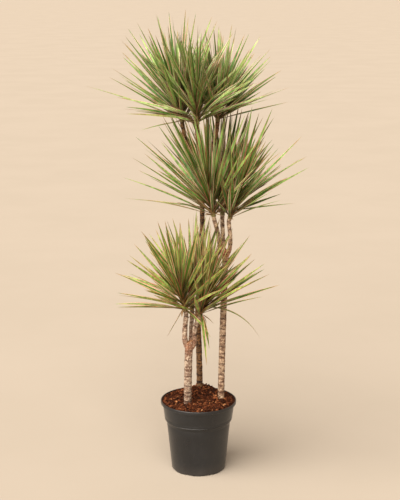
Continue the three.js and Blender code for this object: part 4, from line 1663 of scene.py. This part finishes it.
@dataclass(frozen=True)
class Head:
    """A leafy head: its shoot, its leaves, and the few that are singled out.

    oldest and youngest are the leaves' angles from the stem, turn is where the spiral starts, and
    singled gives height on the stem, turn, angle, length and bend. more is how many leaves fill the
    spiral up between those of the frame, extra gives leaves like singled, with how dry each of them
    is, and remnants is how many stumps of old leaves are left at the stem's foot.
    """

    node: str
    crown: Crown
    cane: int
    shoot: int
    count: int
    length: float
    oldest: float
    youngest: float
    turn: float
    seed: int
    more: int
    singled: tuple[tuple[float, float, float, float, float], ...] = ()
    extra: tuple[tuple[float, float, float, float, float, float], ...] = ()
    remnants: int = 5

    def remnant(self, index: int) -> LeafPlan:
        """What is left of an old leaf at the stem's foot: short, dry and curled down.

        Args:
            index: Its number.

        Returns:
            Its plan.
        """
        draw = seeded(self.seed * 1000 + 900 + index)
        return LeafPlan(
            height=mix(*REMNANT.height, draw()),
            turn=self.turn + index * GOLDEN_ANGLE * REMNANT.turn_steps,
            angle=mix(*REMNANT.angle, draw()),
            length=mix(*REMNANT.length, draw()),
            bend=mix(*REMNANT.bend, draw()),
            roll=mix(*REMNANT.roll, draw()),
            width=LEAF.widest * mix(*REMNANT.width, draw()),
            tint=draw(),
            dry=mix(*REMNANT.dry, draw()),
        )

    def spiral_leaf(self, index: float, seed: int) -> LeafPlan:
        """The leaf at a place in the spiral, with its own small chances.

        Args:
            index: Its place, counted from the oldest.
            seed: Seed of its chances.

        Returns:
            Its plan.
        """
        draw = seeded(seed)
        youth = min((index + 0.5) / self.count, 1.0)
        opened = (1 - youth) ** SPIRAL.opening
        swell = math.sin(math.pi * (SPIRAL.swell_from + SPIRAL.swell_run * youth))
        angle = mix(self.youngest, self.oldest, opened) + mix(*SPIRAL.stray_angle, draw())
        turn = self.turn + index * GOLDEN_ANGLE + mix(*SPIRAL.stray_turn, draw())
        length = self.length * (SPIRAL.shortest + SPIRAL.bulge * swell) * mix(*SPIRAL.stray_length, draw())
        bend = mix(SPIRAL.old_bend, SPIRAL.young_bend, youth) * mix(*SPIRAL.stray_bend, draw())
        roll = mix(*SPIRAL.stray_roll, draw())
        width = LEAF.widest * mix(*SPIRAL.stray_width, draw())
        height = SPIRAL.lowest + SPIRAL.rise * youth**SPIRAL.crowding
        tint = draw()
        dry = SPIRAL.driest * draw() if draw() > SPIRAL.dry_from + SPIRAL.dry_rise * youth else 0.0
        return LeafPlan(height, turn, angle, length, bend, roll, width, tint, dry)

    def filler(self, number: int) -> LeafPlan:
        """One of the leaves that fill the head up, shorter than those of the frame.

        Args:
            number: Its number.

        Returns:
            Its plan.
        """
        seed = self.seed * 1000 + 500 + number
        plan = self.spiral_leaf((number + 0.5) * self.count / self.more, seed)
        return replace(plan, length=plan.length * mix(*SPIRAL.filler_length, seeded(seed + 250)()))


HEADS = (
    Head(
        node="leaves_low_left", crown=Crown.LOW, cane=0, shoot=0, count=42,
        length=225, oldest=68, youngest=2, turn=43, seed=556, more=28,
        singled=(
            (0.1, 183, 138, 108, 8), (0.05, 310, 112, 130, 26), (0.12, 179, 74, 207, 8),
            (0.2, 177, 65, 207, 5),
        ),
    ),
    Head(
        node="leaves_low_right", crown=Crown.LOW, cane=0, shoot=1, count=41,
        length=234, oldest=51, youngest=4, turn=146, seed=406, more=28,
        singled=(
            (0.14, 277, 96, 212, 60), (0.32, -12, 64, 218, 78), (0.25, 3, 56, 251, 4),
            (0.3, 7, 42, 226, 3), (0.35, 3, 47.5, 230, 3),
        ),
        extra=((0.3, 21, 30.6, 163, 2, 0.9), (0.1, 290, 104, 128, 46, 0.0)),
    ),
    Head(
        node="leaves_low_back", crown=Crown.LOW, cane=0, shoot=2, count=42,
        length=249, oldest=59, youngest=6, turn=73, seed=601, more=28,
    ),
    Head(
        node="leaves_mid_left", crown=Crown.MID, cane=1, shoot=0, count=43,
        length=292, oldest=55, youngest=5, turn=346, seed=617, more=44,
        singled=(
            (0.3, 181, 69, 268, 5), (0.5, 249, 3.4, 291, 1), (0.62, 321, 3, 283, 1),
            (0.72, 332, 7.5, 266, 2), (0.8, 355, 12, 265, 2), (0.66, 191, 5, 262, 2),
        ),
    ),
    Head(
        node="leaves_mid_right", crown=Crown.MID, cane=1, shoot=1, count=38,
        length=220, oldest=50, youngest=8, turn=253, seed=38, more=44,
        singled=(
            (0.3, 0, 69, 196, 4), (0.25, 5, 57, 160, 2), (0.3, 0, 46, 269, 3), (0.5, 6, 31, 295, 3),
            (0.7, 23, 10, 300, 1), (0.8, 40, 3.3, 266, 1), (0.85, 118, 3.6, 277, 1),
        ),
    ),
    Head(
        node="leaves_mid_back", crown=Crown.MID, cane=1, shoot=2, count=42,
        length=298, oldest=51, youngest=9, turn=86, seed=797, more=46,
    ),
    Head(
        node="leaves_top_left", crown=Crown.TOP, cane=2, shoot=0, count=45,
        length=273, oldest=53, youngest=7, turn=343, seed=894, more=62,
        singled=((0.14, 182, 59, 306, 9), (0.04, 200, 88, 130, 10)),
    ),
    Head(
        node="leaves_top_right", crown=Crown.TOP, cane=2, shoot=1, count=45,
        length=228, oldest=57, youngest=7, turn=68, seed=275, more=62,
        singled=((0.25, 0, 64, 232, 2), (0.1, 0, 71.5, 218, 2)),
    ),
    Head(
        node="leaves_top_front", crown=Crown.TOP, cane=2, shoot=2, count=45,
        length=243, oldest=70, youngest=5, turn=132, seed=563, more=62,
    ),
)


@dataclass(frozen=True)
class HeadFrame:
    """A head's place: where its stem starts, the stem's direction, and two directions square to it."""

    base: np.ndarray
    axis: np.ndarray
    right: np.ndarray
    back: np.ndarray

    @classmethod
    def of(cls, head: Head) -> HeadFrame:
        """The place of a head at the end of its shoot.

        Args:
            head: The head.

        Returns:
            Its place.
        """
        shoot = CANES[head.cane].shoots[head.shoot]
        axis = shoot.end_direction()
        right, back = cross_frame(axis)
        return cls(np.array(shoot.path[-1], float), axis, right, back)


class LeafPath:
    """The line of a leaf's middle and the way that its blade faces."""

    LEAST_ARC = 1e-4
    LIT_SHARE = 0.4

    def __init__(self, frame: HeadFrame, plan: LeafPlan) -> None:
        """Works out where a planned leaf lies.

        Args:
            frame: The place of its head.
            plan: Its plan.
        """
        lean, turn = math.radians(plan.angle), math.radians(plan.turn)
        round_way = frame.right * math.cos(turn) + frame.back * math.sin(turn)
        self.plan = plan
        self.along = frame.axis * math.cos(lean) + round_way * math.sin(lean)
        under = round_way * math.cos(lean) - frame.axis * math.sin(lean)
        side, roll = np.cross(self.along, under), math.radians(plan.roll)
        self.side = side * math.cos(roll) + np.cross(self.along, side) * math.sin(roll)
        reach = LEAF.root_depth * STEM.radius(plan.height)
        self.root = frame.base + frame.axis * plan.height * STEM.length + round_way * reach
        level = math.hypot(self.along[0], self.along[1])
        self.arc = max(math.radians(plan.bend) * level, self.LEAST_ARC)
        self.down = unit(self.along * self.along[2] - np.array([0, 0, 1.0]))

    def middle(self, shares: np.ndarray) -> np.ndarray:
        """Places of the leaf's middle.

        Args:
            shares: Shares of its length.

        Returns:
            A place in each row.
        """
        ahead = self.plan.length * np.sin(self.arc * shares) / self.arc
        sunk = self.plan.length * (1 - np.cos(self.arc * shares)) / self.arc
        return self.root + self.along * ahead[:, None] + self.down * sunk[:, None]

    def tangents(self, shares: np.ndarray) -> np.ndarray:
        """Directions of the middle at shares of the length."""
        turned = self.arc * shares[:, None]
        return self.along * np.cos(turned) + self.down * np.sin(turned)

    def keel_way(self, shares: np.ndarray) -> np.ndarray:
        """Directions in which the leaf's underside faces at shares of the length."""
        return unit(np.cross(self.side, self.tangents(shares)))

    def turn_to_light(self) -> float:
        """The angle in degrees by which the blade would have to turn to face the light."""
        lit = np.array([self.LIT_SHARE])
        tangent, up = self.tangents(lit)[0], -self.keel_way(lit)[0]
        light = np.array(LEAF.light_way)
        return math.degrees(math.atan2(np.cross(up, light) @ tangent, up @ light))

    def corner_lines(self) -> np.ndarray:
        """The corners of the plain leaf's left edge, right edge and keel, as [line, corner, axis]."""
        shares = LEAF.corner_shares(self.plan.bend)
        half = LEAF.half_width(shares, self.plan.width)
        half[0] = LEAF.root / 2
        middle = self.middle(shares)
        keel = middle + self.keel_way(shares) * np.where(shares < 1, LEAF.keel, 0)[:, None]
        return np.stack([middle - self.side * half[:, None], middle + self.side * half[:, None], keel])


class Stretches:
    LEAST_SLANT = 1e-9

    def __init__(self, starts: np.ndarray, ends: np.ndarray) -> None:
        """Takes the stretches.

        Args:
            starts: Where they start, one in each row.
            ends: Where they end.
        """
        self.starts, self.ends = starts, ends
        self.middles = (starts + ends) / 2
        self.halves = np.linalg.norm(ends - starts, axis=1) / 2

    @classmethod
    def along(cls, lines: np.ndarray) -> Stretches:
        """The stretches between the corners of lines, given as [line, corner, axis]."""
        return cls(lines[:, :-1].reshape(-1, 3), lines[:, 1:].reshape(-1, 3))

    def clear_of(self, others: Stretches, distance: np.ndarray) -> bool:
        """Whether every stretch stays further than a distance from every other one.

        Args:
            others: The stretches to keep clear of.
            distance: How far from each of them.

        Returns:
            True if all are clear.
        """
        between = np.linalg.norm(self.middles[:, None] - others.middles[None], axis=2)
        mine, theirs = np.nonzero(between <= self.halves[:, None] + others.halves[None] + distance[None])
        if not len(mine):
            return True
        u = self.ends[mine] - self.starts[mine]
        v = others.ends[theirs] - others.starts[theirs]
        w = self.starts[mine] - others.starts[theirs]
        uu, uv, vv, uw, vw = ((p * q).sum(1) for p, q in ((u, u), (u, v), (v, v), (u, w), (v, w)))
        slant = uu * vv - uv * uv
        nearest = np.clip((uv * vw - vv * uw) / np.maximum(slant, self.LEAST_SLANT), 0, 1)
        s = np.where(slant > self.LEAST_SLANT, nearest, 0)
        t = (uv * s + vw) / vv
        beyond = (t < 0) | (t > 1)
        t = np.clip(t, 0, 1)
        s = np.where(beyond, np.clip((uv * t - uw) / uu, 0, 1), s)
        gaps = np.linalg.norm(w + u * s[:, None] - v * t[:, None], axis=1)
        return bool(np.all(gaps > distance[theirs]))


@dataclass
class Crowns:
    """All leafy heads together: leaves are laid one by one, each in the free place nearest its own.

    barks holds what each head's leaves keep clear of, room the frame's box of each head, blades the
    stretches of all leaves laid so far with their heads' numbers, and laid each head's leaves.
    """

    blade_clearance: float = 4.6
    cane_clearance: float = 3.4
    more_clearance: float = 1.5
    room_margin: float = 2.0
    swell: float = 0.07
    tries: int = 90
    try_step: float = 3.4
    cane_stretches: int = 12
    shoot_stretches: int = 9
    own_shoot_free: int = 2
    frames: list[HeadFrame] = field(default_factory=lambda: [HeadFrame.of(head) for head in HEADS])
    room: list[np.ndarray] = field(
        default_factory=lambda: [np.array(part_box(head.node)) / MM for head in HEADS]
    )
    laid: list[list[LeafPath]] = field(default_factory=lambda: [[] for _ in HEADS])
    blades: list[tuple[int, Stretches]] = field(default_factory=list)
    barks: list[tuple[Stretches, np.ndarray]] = field(default_factory=list)

    def bark(self, own: int) -> tuple[Stretches, np.ndarray]:
        """The bark that a head's leaves keep clear of, and how far.

        Args:
            own: Number of the head.

        Returns:
            The stretches of canes, shoots and the other heads' stems, and the distance to each.
        """
        starts: list[np.ndarray] = []
        ends: list[np.ndarray] = []
        reach: list[float] = []

        def keep(points: np.ndarray, radius: float) -> None:
            """Adds the stretches between points.

            Args:
                points: Places along a cane, a shoot or a stem.
                radius: Its radius.
            """
            starts.extend(points[:-1])
            ends.extend(points[1:])
            reach.extend([radius + self.cane_clearance] * (len(points) - 1))

        for number, cane in enumerate(CANES):
            points = cane.line().points(np.linspace(0, 1, self.cane_stretches + 1))
            keep(points, cane.radii[0] * (1 + self.swell))
            for place, shoot in enumerate(cane.shoots):
                points = shoot.line().points(np.linspace(0, 1, self.shoot_stretches + 1))
                if (number, place) == (HEADS[own].cane, HEADS[own].shoot):
                    points = points[: -self.own_shoot_free]
                keep(points, shoot.radii[0])
        for number, frame in enumerate(self.frames):
            if number != own:
                keep(np.array([frame.base, frame.base + frame.axis * STEM.length]), STEM.base_radius)
        return Stretches(np.array(starts), np.array(ends)), np.array(reach)

    def others(self, own: int) -> Stretches | None:
        """The stretches of all leaves laid on other heads.

        Args:
            own: Number of the head.

        Returns:
            The stretches, or None where there are none.
        """
        found = [blade for number, blade in self.blades if number != own]
        if not found:
            return None
        return Stretches(np.vstack([b.starts for b in found]), np.vstack([b.ends for b in found]))

    def has_room(self, own: int, lines: np.ndarray) -> bool:
        """Whether a leaf's corner lines, given as [line, corner, axis], stay inside its head's box."""
        low, high = self.room[own]
        return bool(np.all(lines > low + self.room_margin) and np.all(lines < high - self.room_margin))

    def lay(self, own: int, plan: LeafPlan, clearance: float, boxed: bool = False) -> None:
        """Lays a leaf at its own place or, where that is taken, at the nearest free one, if any.

        Args:
            own: Number of its head.
            plan: Its plan.
            clearance: How far its lines keep from those of leaves on other heads.
            boxed: Whether it has to stay inside the frame's box of its head.
        """
        bark, reach = self.barks[own]
        others = self.others(own)
        for attempt in range(self.tries):
            moved = plan.moved(self.try_step * math.sqrt(attempt), math.radians(attempt * GOLDEN_ANGLE))
            path = LeafPath(self.frames[own], moved)
            corner_lines = path.corner_lines()
            lines = Stretches.along(corner_lines)
            if boxed and not self.has_room(own, corner_lines):
                continue
            if not lines.clear_of(bark, reach):
                continue
            if others and not lines.clear_of(others, np.full(len(others.starts), clearance)):
                continue
            self.laid[own].append(path)
            self.blades.append((own, lines))
            return

    def lay_all(self) -> None:
        """Lays the singled-out leaves, then each head's spiral, then the leaves that fill it up."""
        self.barks = [self.bark(number) for number in range(len(HEADS))]
        for number, head in enumerate(HEADS):
            for i, (height, turn, angle, length, bend) in enumerate(head.singled):
                tint = seeded(head.seed * 100 + i)()
                self.lay(number, LeafPlan(height, turn, angle, length, bend, tint=tint), self.blade_clearance)
        for number, head in enumerate(HEADS):
            for i in range(head.count):
                self.lay(number, head.spiral_leaf(i, head.seed * 1000 + i), self.blade_clearance)
        for number, head in enumerate(HEADS):
            for i in range(head.more):
                self.lay(number, head.filler(i), self.more_clearance, True)
            for i, (height, turn, angle, length, bend, dry) in enumerate(head.extra):
                tint = seeded(head.seed * 100 + 50 + i)()
                plan = LeafPlan(height, turn, angle, length, bend, tint=tint, dry=dry)
                self.lay(number, plan, self.more_clearance, True)
            for i in range(head.remnants):
                self.lay(number, head.remnant(i), self.more_clearance, True)


class Blade:
    """The mesh of a leaf: a thin blade folded along its middle, with sharp edges and a fine tip.

    ACROSS is how far out each corner of a cut through it lies, and UNDERSIDE which of them are below.
    """

    ACROSS = np.array([1, 0.5, 0, -0.5, -1, -0.5, 0, 0.5])
    UNDERSIDE = np.array([0, 0, 0, 0, 0, 1, 1, 1])

    def __init__(self, form: LeafForm) -> None:
        """Works out what all blades share.

        Args:
            form: The form of the leaves.
        """
        self.form = form
        sides, rings = len(self.ACROSS), form.stations
        self.shares = np.linspace(0, 1, rings + 1)[:-1] ** form.crowding
        self.faces = loft_faces(rings, sides, ends=False)
        self.faces.append(tuple(reversed(range(sides))))
        self.faces += fan_faces((rings - 1) * sides, sides)

    def add(self, draft: MeshDraft, path: LeafPath) -> None:
        """Adds the blade of one leaf.

        Args:
            draft: The mesh that it goes into.
            path: Where the leaf lies.
        """
        form, plan, shares = self.form, path.plan, self.shares
        draw = seeded(int(plan.tint * 1e6))
        upright = max(float(path.along[2]), 0.0)
        most = min(max(path.turn_to_light(), -form.most_turn), form.most_turn) * upright
        facing, twist = math.radians(most), math.radians(mix(-form.stray_turn, form.stray_turn, draw()))
        sway = mix(-form.sway, form.sway, draw()) * plan.length
        narrowed = mix(form.foot_width, 1, smooth(0, form.foot_run, shares))
        half = form.half_width(shares, plan.width) * narrowed
        keel, side = path.keel_way(shares), np.broadcast_to(path.side, (len(shares), 3))
        turned = (facing * smooth(*form.turn_run, shares) + twist * shares)[:, None]
        across_way = side * np.cos(turned) - keel * np.sin(turned)
        under_way = keel * np.cos(turned) + side * np.sin(turned)
        middle = path.middle(shares) + side * (sway * np.sin(math.pi * shares))[:, None]
        slim = np.clip(half / (plan.width / 2), form.least_slim, 1)
        fold = form.fold * (form.foot_fold - shares) * slim
        sunk = fold[:, None] * (1 - np.abs(self.ACROSS) ** form.channel)[None]
        thinned = 1 - np.abs(self.ACROSS) * form.edge_thinning
        sunk = sunk + self.UNDERSIDE * (form.thickness * slim)[:, None] * thinned
        points = middle[:, None] + across_way[:, None] * (half[:, None] * self.ACROSS)[..., None]
        points = points + under_way[:, None] * sunk[..., None]
        tip = path.middle(np.array([1.0]))
        along = np.append(np.repeat(shares, len(self.ACROSS)), 1)
        across = np.append(np.tile(self.ACROSS, len(shares)), 0)
        draft.add(
            np.vstack([points.reshape(-1, 3), tip]),
            self.faces,
            leaf_along=along, leaf_across=across, leaf_tint=plan.tint, leaf_dry=plan.dry,
        )


@dataclass
class LeafyHead:
    """One head: its stem and every leaf on it, as one piece."""

    head: Head
    frame: HeadFrame
    paths: list[LeafPath]
    stem_sides: int = 16
    stem_rings: int = 24
    stem_inset: float = 0.8
    scales: int = 3
    scale_turn: float = 2.4
    scale_depth: float = 0.9

    def stem(self, draft: MeshDraft) -> None:
        """Adds the stem's end, ringed by the feet of its leaves.

        Args:
            draft: The mesh that it goes into.
        """
        shares = np.linspace(0, 1, self.stem_rings)
        angles = ring_angles(self.stem_sides)
        round_way = self.frame.right * np.cos(angles)[:, None] + self.frame.back * np.sin(angles)[:, None]
        rings = []
        for i, share in enumerate(shares):
            scales = self.scale_depth * np.cos(self.scales * angles + i * self.scale_turn)
            radius = STEM.radius(share) - self.stem_inset + scales * (1 - share)
            place = self.frame.base + self.frame.axis * mix(STEM.gap, STEM.length, share)
            rings.append(place + round_way * radius[:, None])
        # leaf_along 0.03 gives the whole stem the leaves' painted foot shade, and leaf_dry browns it.
        draft.add(
            np.vstack(rings),
            loft_faces(self.stem_rings, self.stem_sides),
            leaf_along=0.03, leaf_across=0.3, leaf_tint=0.4, leaf_dry=0.35,
        )

    def build(self, material: bpy.types.Material, blade: Blade) -> bpy.types.Object:
        """Makes the head.

        Args:
            material: The leaves' material.
            blade: The form of a leaf's mesh.

        Returns:
            The finished head.
        """
        draft = MeshDraft()
        self.stem(draft)
        for path in self.paths:
            blade.add(draft, path)
        return draft.build(f"{self.head.node}_blades", [material], sharp=55)


# ---------------------------- studio


@dataclass
class Studio:
    """A plain pale floor, soft lights and the camera. Places are in metres."""

    floor_radius: float = 120.0
    floor_middle: float = 2.0
    floor_sides: int = 96
    camera_place: tuple[float, float, float] = (0.0048, -3.5, 1.522)
    camera_pitch: float = 77.02
    lens: float = 83.6
    sensor: float = 36.0
    wall_colour: Colour = (0.78, 0.61, 0.445, 1)
    fill_colour: Colour = (0.27, 0.216, 0.168, 1)
    sun_strength: float = 6.3
    sun_angle: float = 75.0
    sun_tilt: tuple[float, float, float] = (42.0, 0.0, -34.0)
    sun_colour: tuple[float, float, float] = (1.0, 0.93, 0.85)

    def floor(self) -> None:
        """Lays the floor."""
        draft, sides = MeshDraft(), self.floor_sides
        rings = [ring_points(sides, r, 0) / MM for r in (self.floor_radius, self.floor_middle)]
        faces = loft_faces(2, sides, ends=False)
        draft.add(np.vstack(rings), [*faces, tuple(range(sides, 2 * sides))])
        floor = draft.build("studio_floor", [StudioFloor().make()])
        floor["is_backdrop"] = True

    def lights(self) -> None:
        """Hangs one wide soft light in front on the left, and surrounds the plant with soft light."""
        lamp = bpy.data.lights.new("key", "SUN")
        lamp.energy = self.sun_strength
        lamp.angle = math.radians(self.sun_angle)
        lamp.color = self.sun_colour
        holder = bpy.data.objects.new("key", lamp)
        holder.rotation_euler = tuple(math.radians(turn) for turn in self.sun_tilt)
        bpy.context.scene.collection.objects.link(holder)
        world = bpy.data.worlds.new("studio")
        world.use_nodes = True
        net = Net(world.node_tree)
        scattered = net.add("ShaderNodeLightPath").outputs["Is Diffuse Ray"]
        wall = world.node_tree.nodes["Background"]
        net.feed(wall.inputs["Color"], net.blend(scattered, self.wall_colour, self.fill_colour))
        bpy.context.scene.world = world

    def camera(self) -> None:
        """Sets up the camera at the photograph's angle."""
        data = bpy.data.cameras.new("camera")
        data.lens = self.lens
        data.sensor_width = self.sensor
        camera = bpy.data.objects.new("camera", data)
        camera.location = self.camera_place
        camera.rotation_euler = (math.radians(self.camera_pitch), 0, 0)
        bpy.context.scene.collection.objects.link(camera)
        bpy.context.scene.camera = camera

    def build(self) -> None:
        """Sets the whole studio up."""
        self.camera()
        self.floor()
        self.lights()
        bpy.context.scene.view_settings.view_transform = "Standard"


# ---------------------------- the whole

BARKS = {
    Bark.PALE: BarkFinish(
        pale=(0.665, 0.538, 0.408, 1), deep=(0.320, 0.212, 0.140, 1), patch=(0.273, 0.123, 0.064, 1),
        stain=(0.17, 0.080, 0.048, 1), scar=(0.028, 0.013, 0.009, 1), warm=(0.34, 0.135, 0.065, 1),
        pitch=10.5, scar_width=0.17, patches=0.5, low_stain=0.9,
    ),
    Bark.BEIGE: BarkFinish(
        pale=(0.790, 0.598, 0.406, 1), deep=(0.366, 0.226, 0.137, 1), patch=(0.244, 0.112, 0.0569, 1),
        stain=(0.15, 0.070, 0.040, 1), scar=(0.032, 0.014, 0.010, 1), warm=(0.50, 0.17, 0.07, 1),
        pitch=11.5, scar_width=0.22, patches=0.55, flecks=0.8,
    ),
    Bark.DARK: BarkFinish(
        pale=(0.340, 0.174, 0.066, 1), deep=(0.116, 0.0534, 0.0214, 1), patch=(0.40, 0.26, 0.14, 1),
        stain=(0.020, 0.010, 0.008, 1), scar=(0.010, 0.005, 0.005, 1), warm=(0.26, 0.11, 0.06, 1),
        pitch=12.5, scar_width=0.17, patches=0.3, cracks=0.5,
    ),
}

LEAVES = {
    Crown.LOW: LeafFinish(
        young=(0.395, 0.54, 0.120, 1), old=(0.098, 0.188, 0.0160, 1), deep=(0.031, 0.0496, 0.004, 1),
        band=(0.88, 0.77, 0.48, 1), edge=(0.64, 0.15, 0.08, 1), band_share=0.8,
    ),
    Crown.MID: LeafFinish(
        young=(0.300, 0.525, 0.120, 1), old=(0.080, 0.190, 0.0195, 1), deep=(0.026, 0.0484, 0.005, 1),
        band=(0.92, 0.85, 0.60, 1), edge=(0.60, 0.16, 0.10, 1),
    ),
    Crown.TOP: LeafFinish(
        young=(0.40, 0.64, 0.175, 1), old=(0.114, 0.248, 0.0365, 1), deep=(0.035, 0.0655, 0.0092, 1),
        band=(0.95, 0.90, 0.66, 1), edge=(0.66, 0.24, 0.17, 1), band_share=0.95,
    ),
}


def corners(bounds: tuple[Vector, Vector]) -> list[list[float]]:
    """The two corners of a box as plain lists."""
    return [list(corner) for corner in bounds]


def main() -> None:
    """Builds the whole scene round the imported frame."""
    logging.basicConfig(level=logging.INFO, format="%(name)s: %(message)s")
    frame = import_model()
    frame_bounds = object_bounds()
    LOG.info("the frame has %d nodes", len(frame["nodes"]))
    Studio().build()
    groups = SharedGroups.make()
    pot = NurseryPot()
    dress(pot.build(PotPlastic().make(groups)), "pot")
    soil = RootBall(pot).build(BarkChips().make(groups), [cane.foot() for cane in CANES])
    dress(soil, "soil")
    cut_wood = CutWood().make(groups)
    for cane in CANES:
        bark = BARKS[cane.bark].make(cane.bark, groups)
        dress(cane.build([bark, cut_wood]), cane.node)
    leaf_materials = {crown: LEAVES[crown].make(crown, groups) for crown in Crown}
    crowns = Crowns()
    crowns.lay_all()
    blade = Blade(LEAF)
    for head, place, paths in zip(HEADS, crowns.frames, crowns.laid):
        piece = LeafyHead(head, place, paths).build(leaf_materials[head.crown], blade)
        dress(piece, head.node)
        LOG.info("%s has %d leaves", head.node, len(paths))
    {"cad": corners(frame_bounds), "visual": corners(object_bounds())}


if __name__ == "__main__":
    main()
